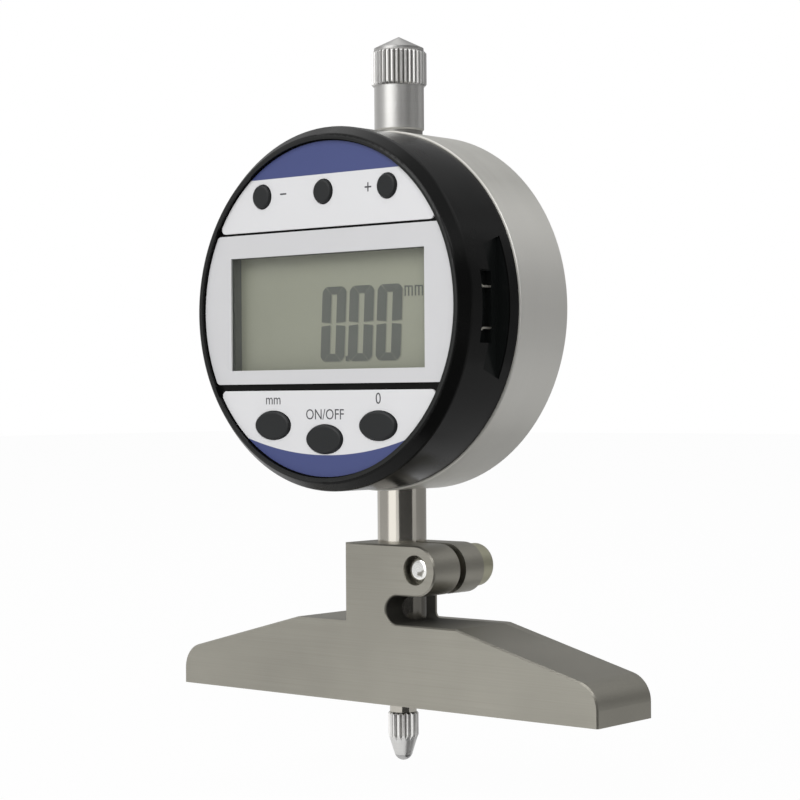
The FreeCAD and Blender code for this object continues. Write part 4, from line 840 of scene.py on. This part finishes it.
def build_world():
    world = bpy.data.worlds.new("studio")
    bpy.context.scene.world = world
    world.use_nodes = True
    world.node_tree.nodes.clear()
    graph = Graph(world.node_tree)
    out = graph.add("ShaderNodeOutputWorld")
    seen_white = graph.add("ShaderNodeBackground")
    soft = graph.add("ShaderNodeBackground")
    socket_value(soft, "Color", (1, 1, 1, 1))
    socket_value(soft, "Strength", 0.4)
    path = graph.add("ShaderNodeLightPath")
    seen = graph.math("MAXIMUM", path.outputs["Is Camera Ray"], path.outputs["Is Glossy Ray"])
    seen = graph.math("MAXIMUM", seen, path.outputs["Is Transmission Ray"])
    strength = graph.stretch(path.outputs["Is Glossy Ray"], 0, 1, 1.0, 0.75)
    graph.feed(seen_white.inputs["Strength"], strength)
    socket_value(seen_white, "Color", (1, 1, 1, 1))
    mixed = graph.add("ShaderNodeMixShader")
    graph.feed(mixed.inputs[0], seen)
    graph.feed(mixed.inputs[1], soft.outputs[0])
    graph.feed(mixed.inputs[2], seen_white.outputs[0])
    graph.feed(out.inputs[0], mixed.outputs[0])


def soft_light(name, location, size, power):
    data = bpy.data.lights.new(name, "AREA")
    data.size = size
    data.energy = power
    lamp = bpy.data.objects.new(name, data)
    bpy.context.collection.objects.link(lamp)
    lamp.location = location
    lamp.rotation_euler = (AIM - Vector(location)).to_track_quat("-Z", "Y").to_euler()


def plain_card(name, location, width, height, tone, lying_turn=None):
    """A card beside the object that only reflections show. It faces the
    object, or lies flat, turned that many degrees."""
    clear_selection()
    bpy.ops.mesh.primitive_plane_add(size=1, location=location)
    card = bpy.context.object
    card.name = name
    if lying_turn is None:
        card.rotation_euler = (AIM - Vector(location)).to_track_quat("Z", "Y").to_euler()
    else:
        card.rotation_euler = (0, 0, math.radians(lying_turn))
    card.scale = (width, height, 1)
    card.visible_camera = False
    card.visible_shadow = False
    card.visible_diffuse = False
    card.visible_transmission = False
    material = bpy.data.materials.new(name + "_cloth")
    material.use_nodes = True
    material.node_tree.nodes.clear()
    graph = Graph(material.node_tree)
    out = graph.add("ShaderNodeOutputMaterial")
    glow = graph.add("ShaderNodeEmission")
    socket_value(glow, "Color", (tone, tone, tone, 1))
    graph.feed(out.inputs["Surface"], glow.outputs[0])
    card.data.materials.append(material)


def floor_card(name, azimuth, half_angle, tone, start=0.004, end=0.4):
    """A wedge of card on the floor that points at the object."""
    plain_card(name, (0, 0, FLOOR_HEIGHT + CARD_LIFT), 1, 1, tone, lying_turn=azimuth)
    card = bpy.data.objects[name]
    spread = math.tan(math.radians(half_angle))
    for vertex in card.data.vertices:
        distance = end if vertex.co.x > 0 else start
        vertex.co = (distance, math.copysign(distance * spread, vertex.co.y), 0)


def near_card(name, azimuth, half_angle, tone, distance=0.4, height=0.28):
    """A card that stands by the object and fills this much of the view."""
    turn = math.radians(azimuth)
    width = 2 * distance * math.tan(math.radians(half_angle))
    foot = -0.02
    place = (distance * math.cos(turn), distance * math.sin(turn), foot + height / 2)
    plain_card(name, place, width, height, tone)


def build_camera():
    """The photograph's camera: its focal length is in pixels of an 800 pixel picture."""
    data = bpy.data.cameras.new("photo_camera")
    focal_pixels = 2119.04
    data.sensor_width = 36
    data.lens = focal_pixels / 800 * data.sensor_width
    data.clip_start = 0.01
    data.clip_end = 20
    camera = bpy.data.objects.new("photo_camera", data)
    bpy.context.collection.objects.link(camera)
    yaw, pitch, roll = 0.70292, -0.00031, -0.00692
    turn = (Matrix.Rotation(yaw, 4, "Z") @ Matrix.Rotation(math.pi / 2 + pitch, 4, "X")
            @ Matrix.Rotation(roll, 4, "Z"))
    camera.matrix_world = Matrix.Translation((0.22345, -0.26402, 0.04886)) @ turn
    bpy.context.scene.camera = camera


dress_metals()
dress_plastics()
dress_front()
build_display()
build_legends()
build_floor()
build_world()
soft_light("key_light", (-0.22, -0.9, 0.75), 0.7, 5.8)
soft_light("fill_light", (0.72, 0.3, 0.8), 0.8, 0.9)
soft_light("front_light", (0.5, -0.62, 0.35), 0.5, 2.2)
soft_light("top_light", (-0.35, 0.1, 1.0), 0.8, 1.7)
near_card("dark_card", -32, 34, 0.06)
near_card("white_card", -96, 19, 1.5)
near_card("left_card", -148, 30, 0.5)
floor_card("dark_point_card", 22, 46, 0.12, start=0.003, end=0.045)
floor_card("dark_floor_card", -29, 31, 0.07, start=0.046)
floor_card("right_near_card", 60, 57, 0.54, end=0.17)
floor_card("right_side_card", 26, 23, 0.46, start=0.17, end=1.2)
floor_card("right_floor_card", 83, 34, 0.27, start=0.17, end=0.45)
floor_card("right_far_card", 83, 34, 0.5, start=0.45, end=1.2)
near_card("right_dim_card", 62, 42, 0.3, distance=0.5, height=0.12)
plain_card("right_low_card", (1.0, 0.5, 0.06), 1.5, 0.18, 0.6)
plain_card("right_card", (1.02, 0.51, 0.3), 1.5, 1.0, 0.2)
plain_card("back_card", (-0.35, 1.1, 0.35), 1.9, 1.5, 0.32)
build_camera()
bpy.context.scene.view_settings.view_transform = "Standard"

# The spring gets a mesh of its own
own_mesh(nodes["return_spring"])
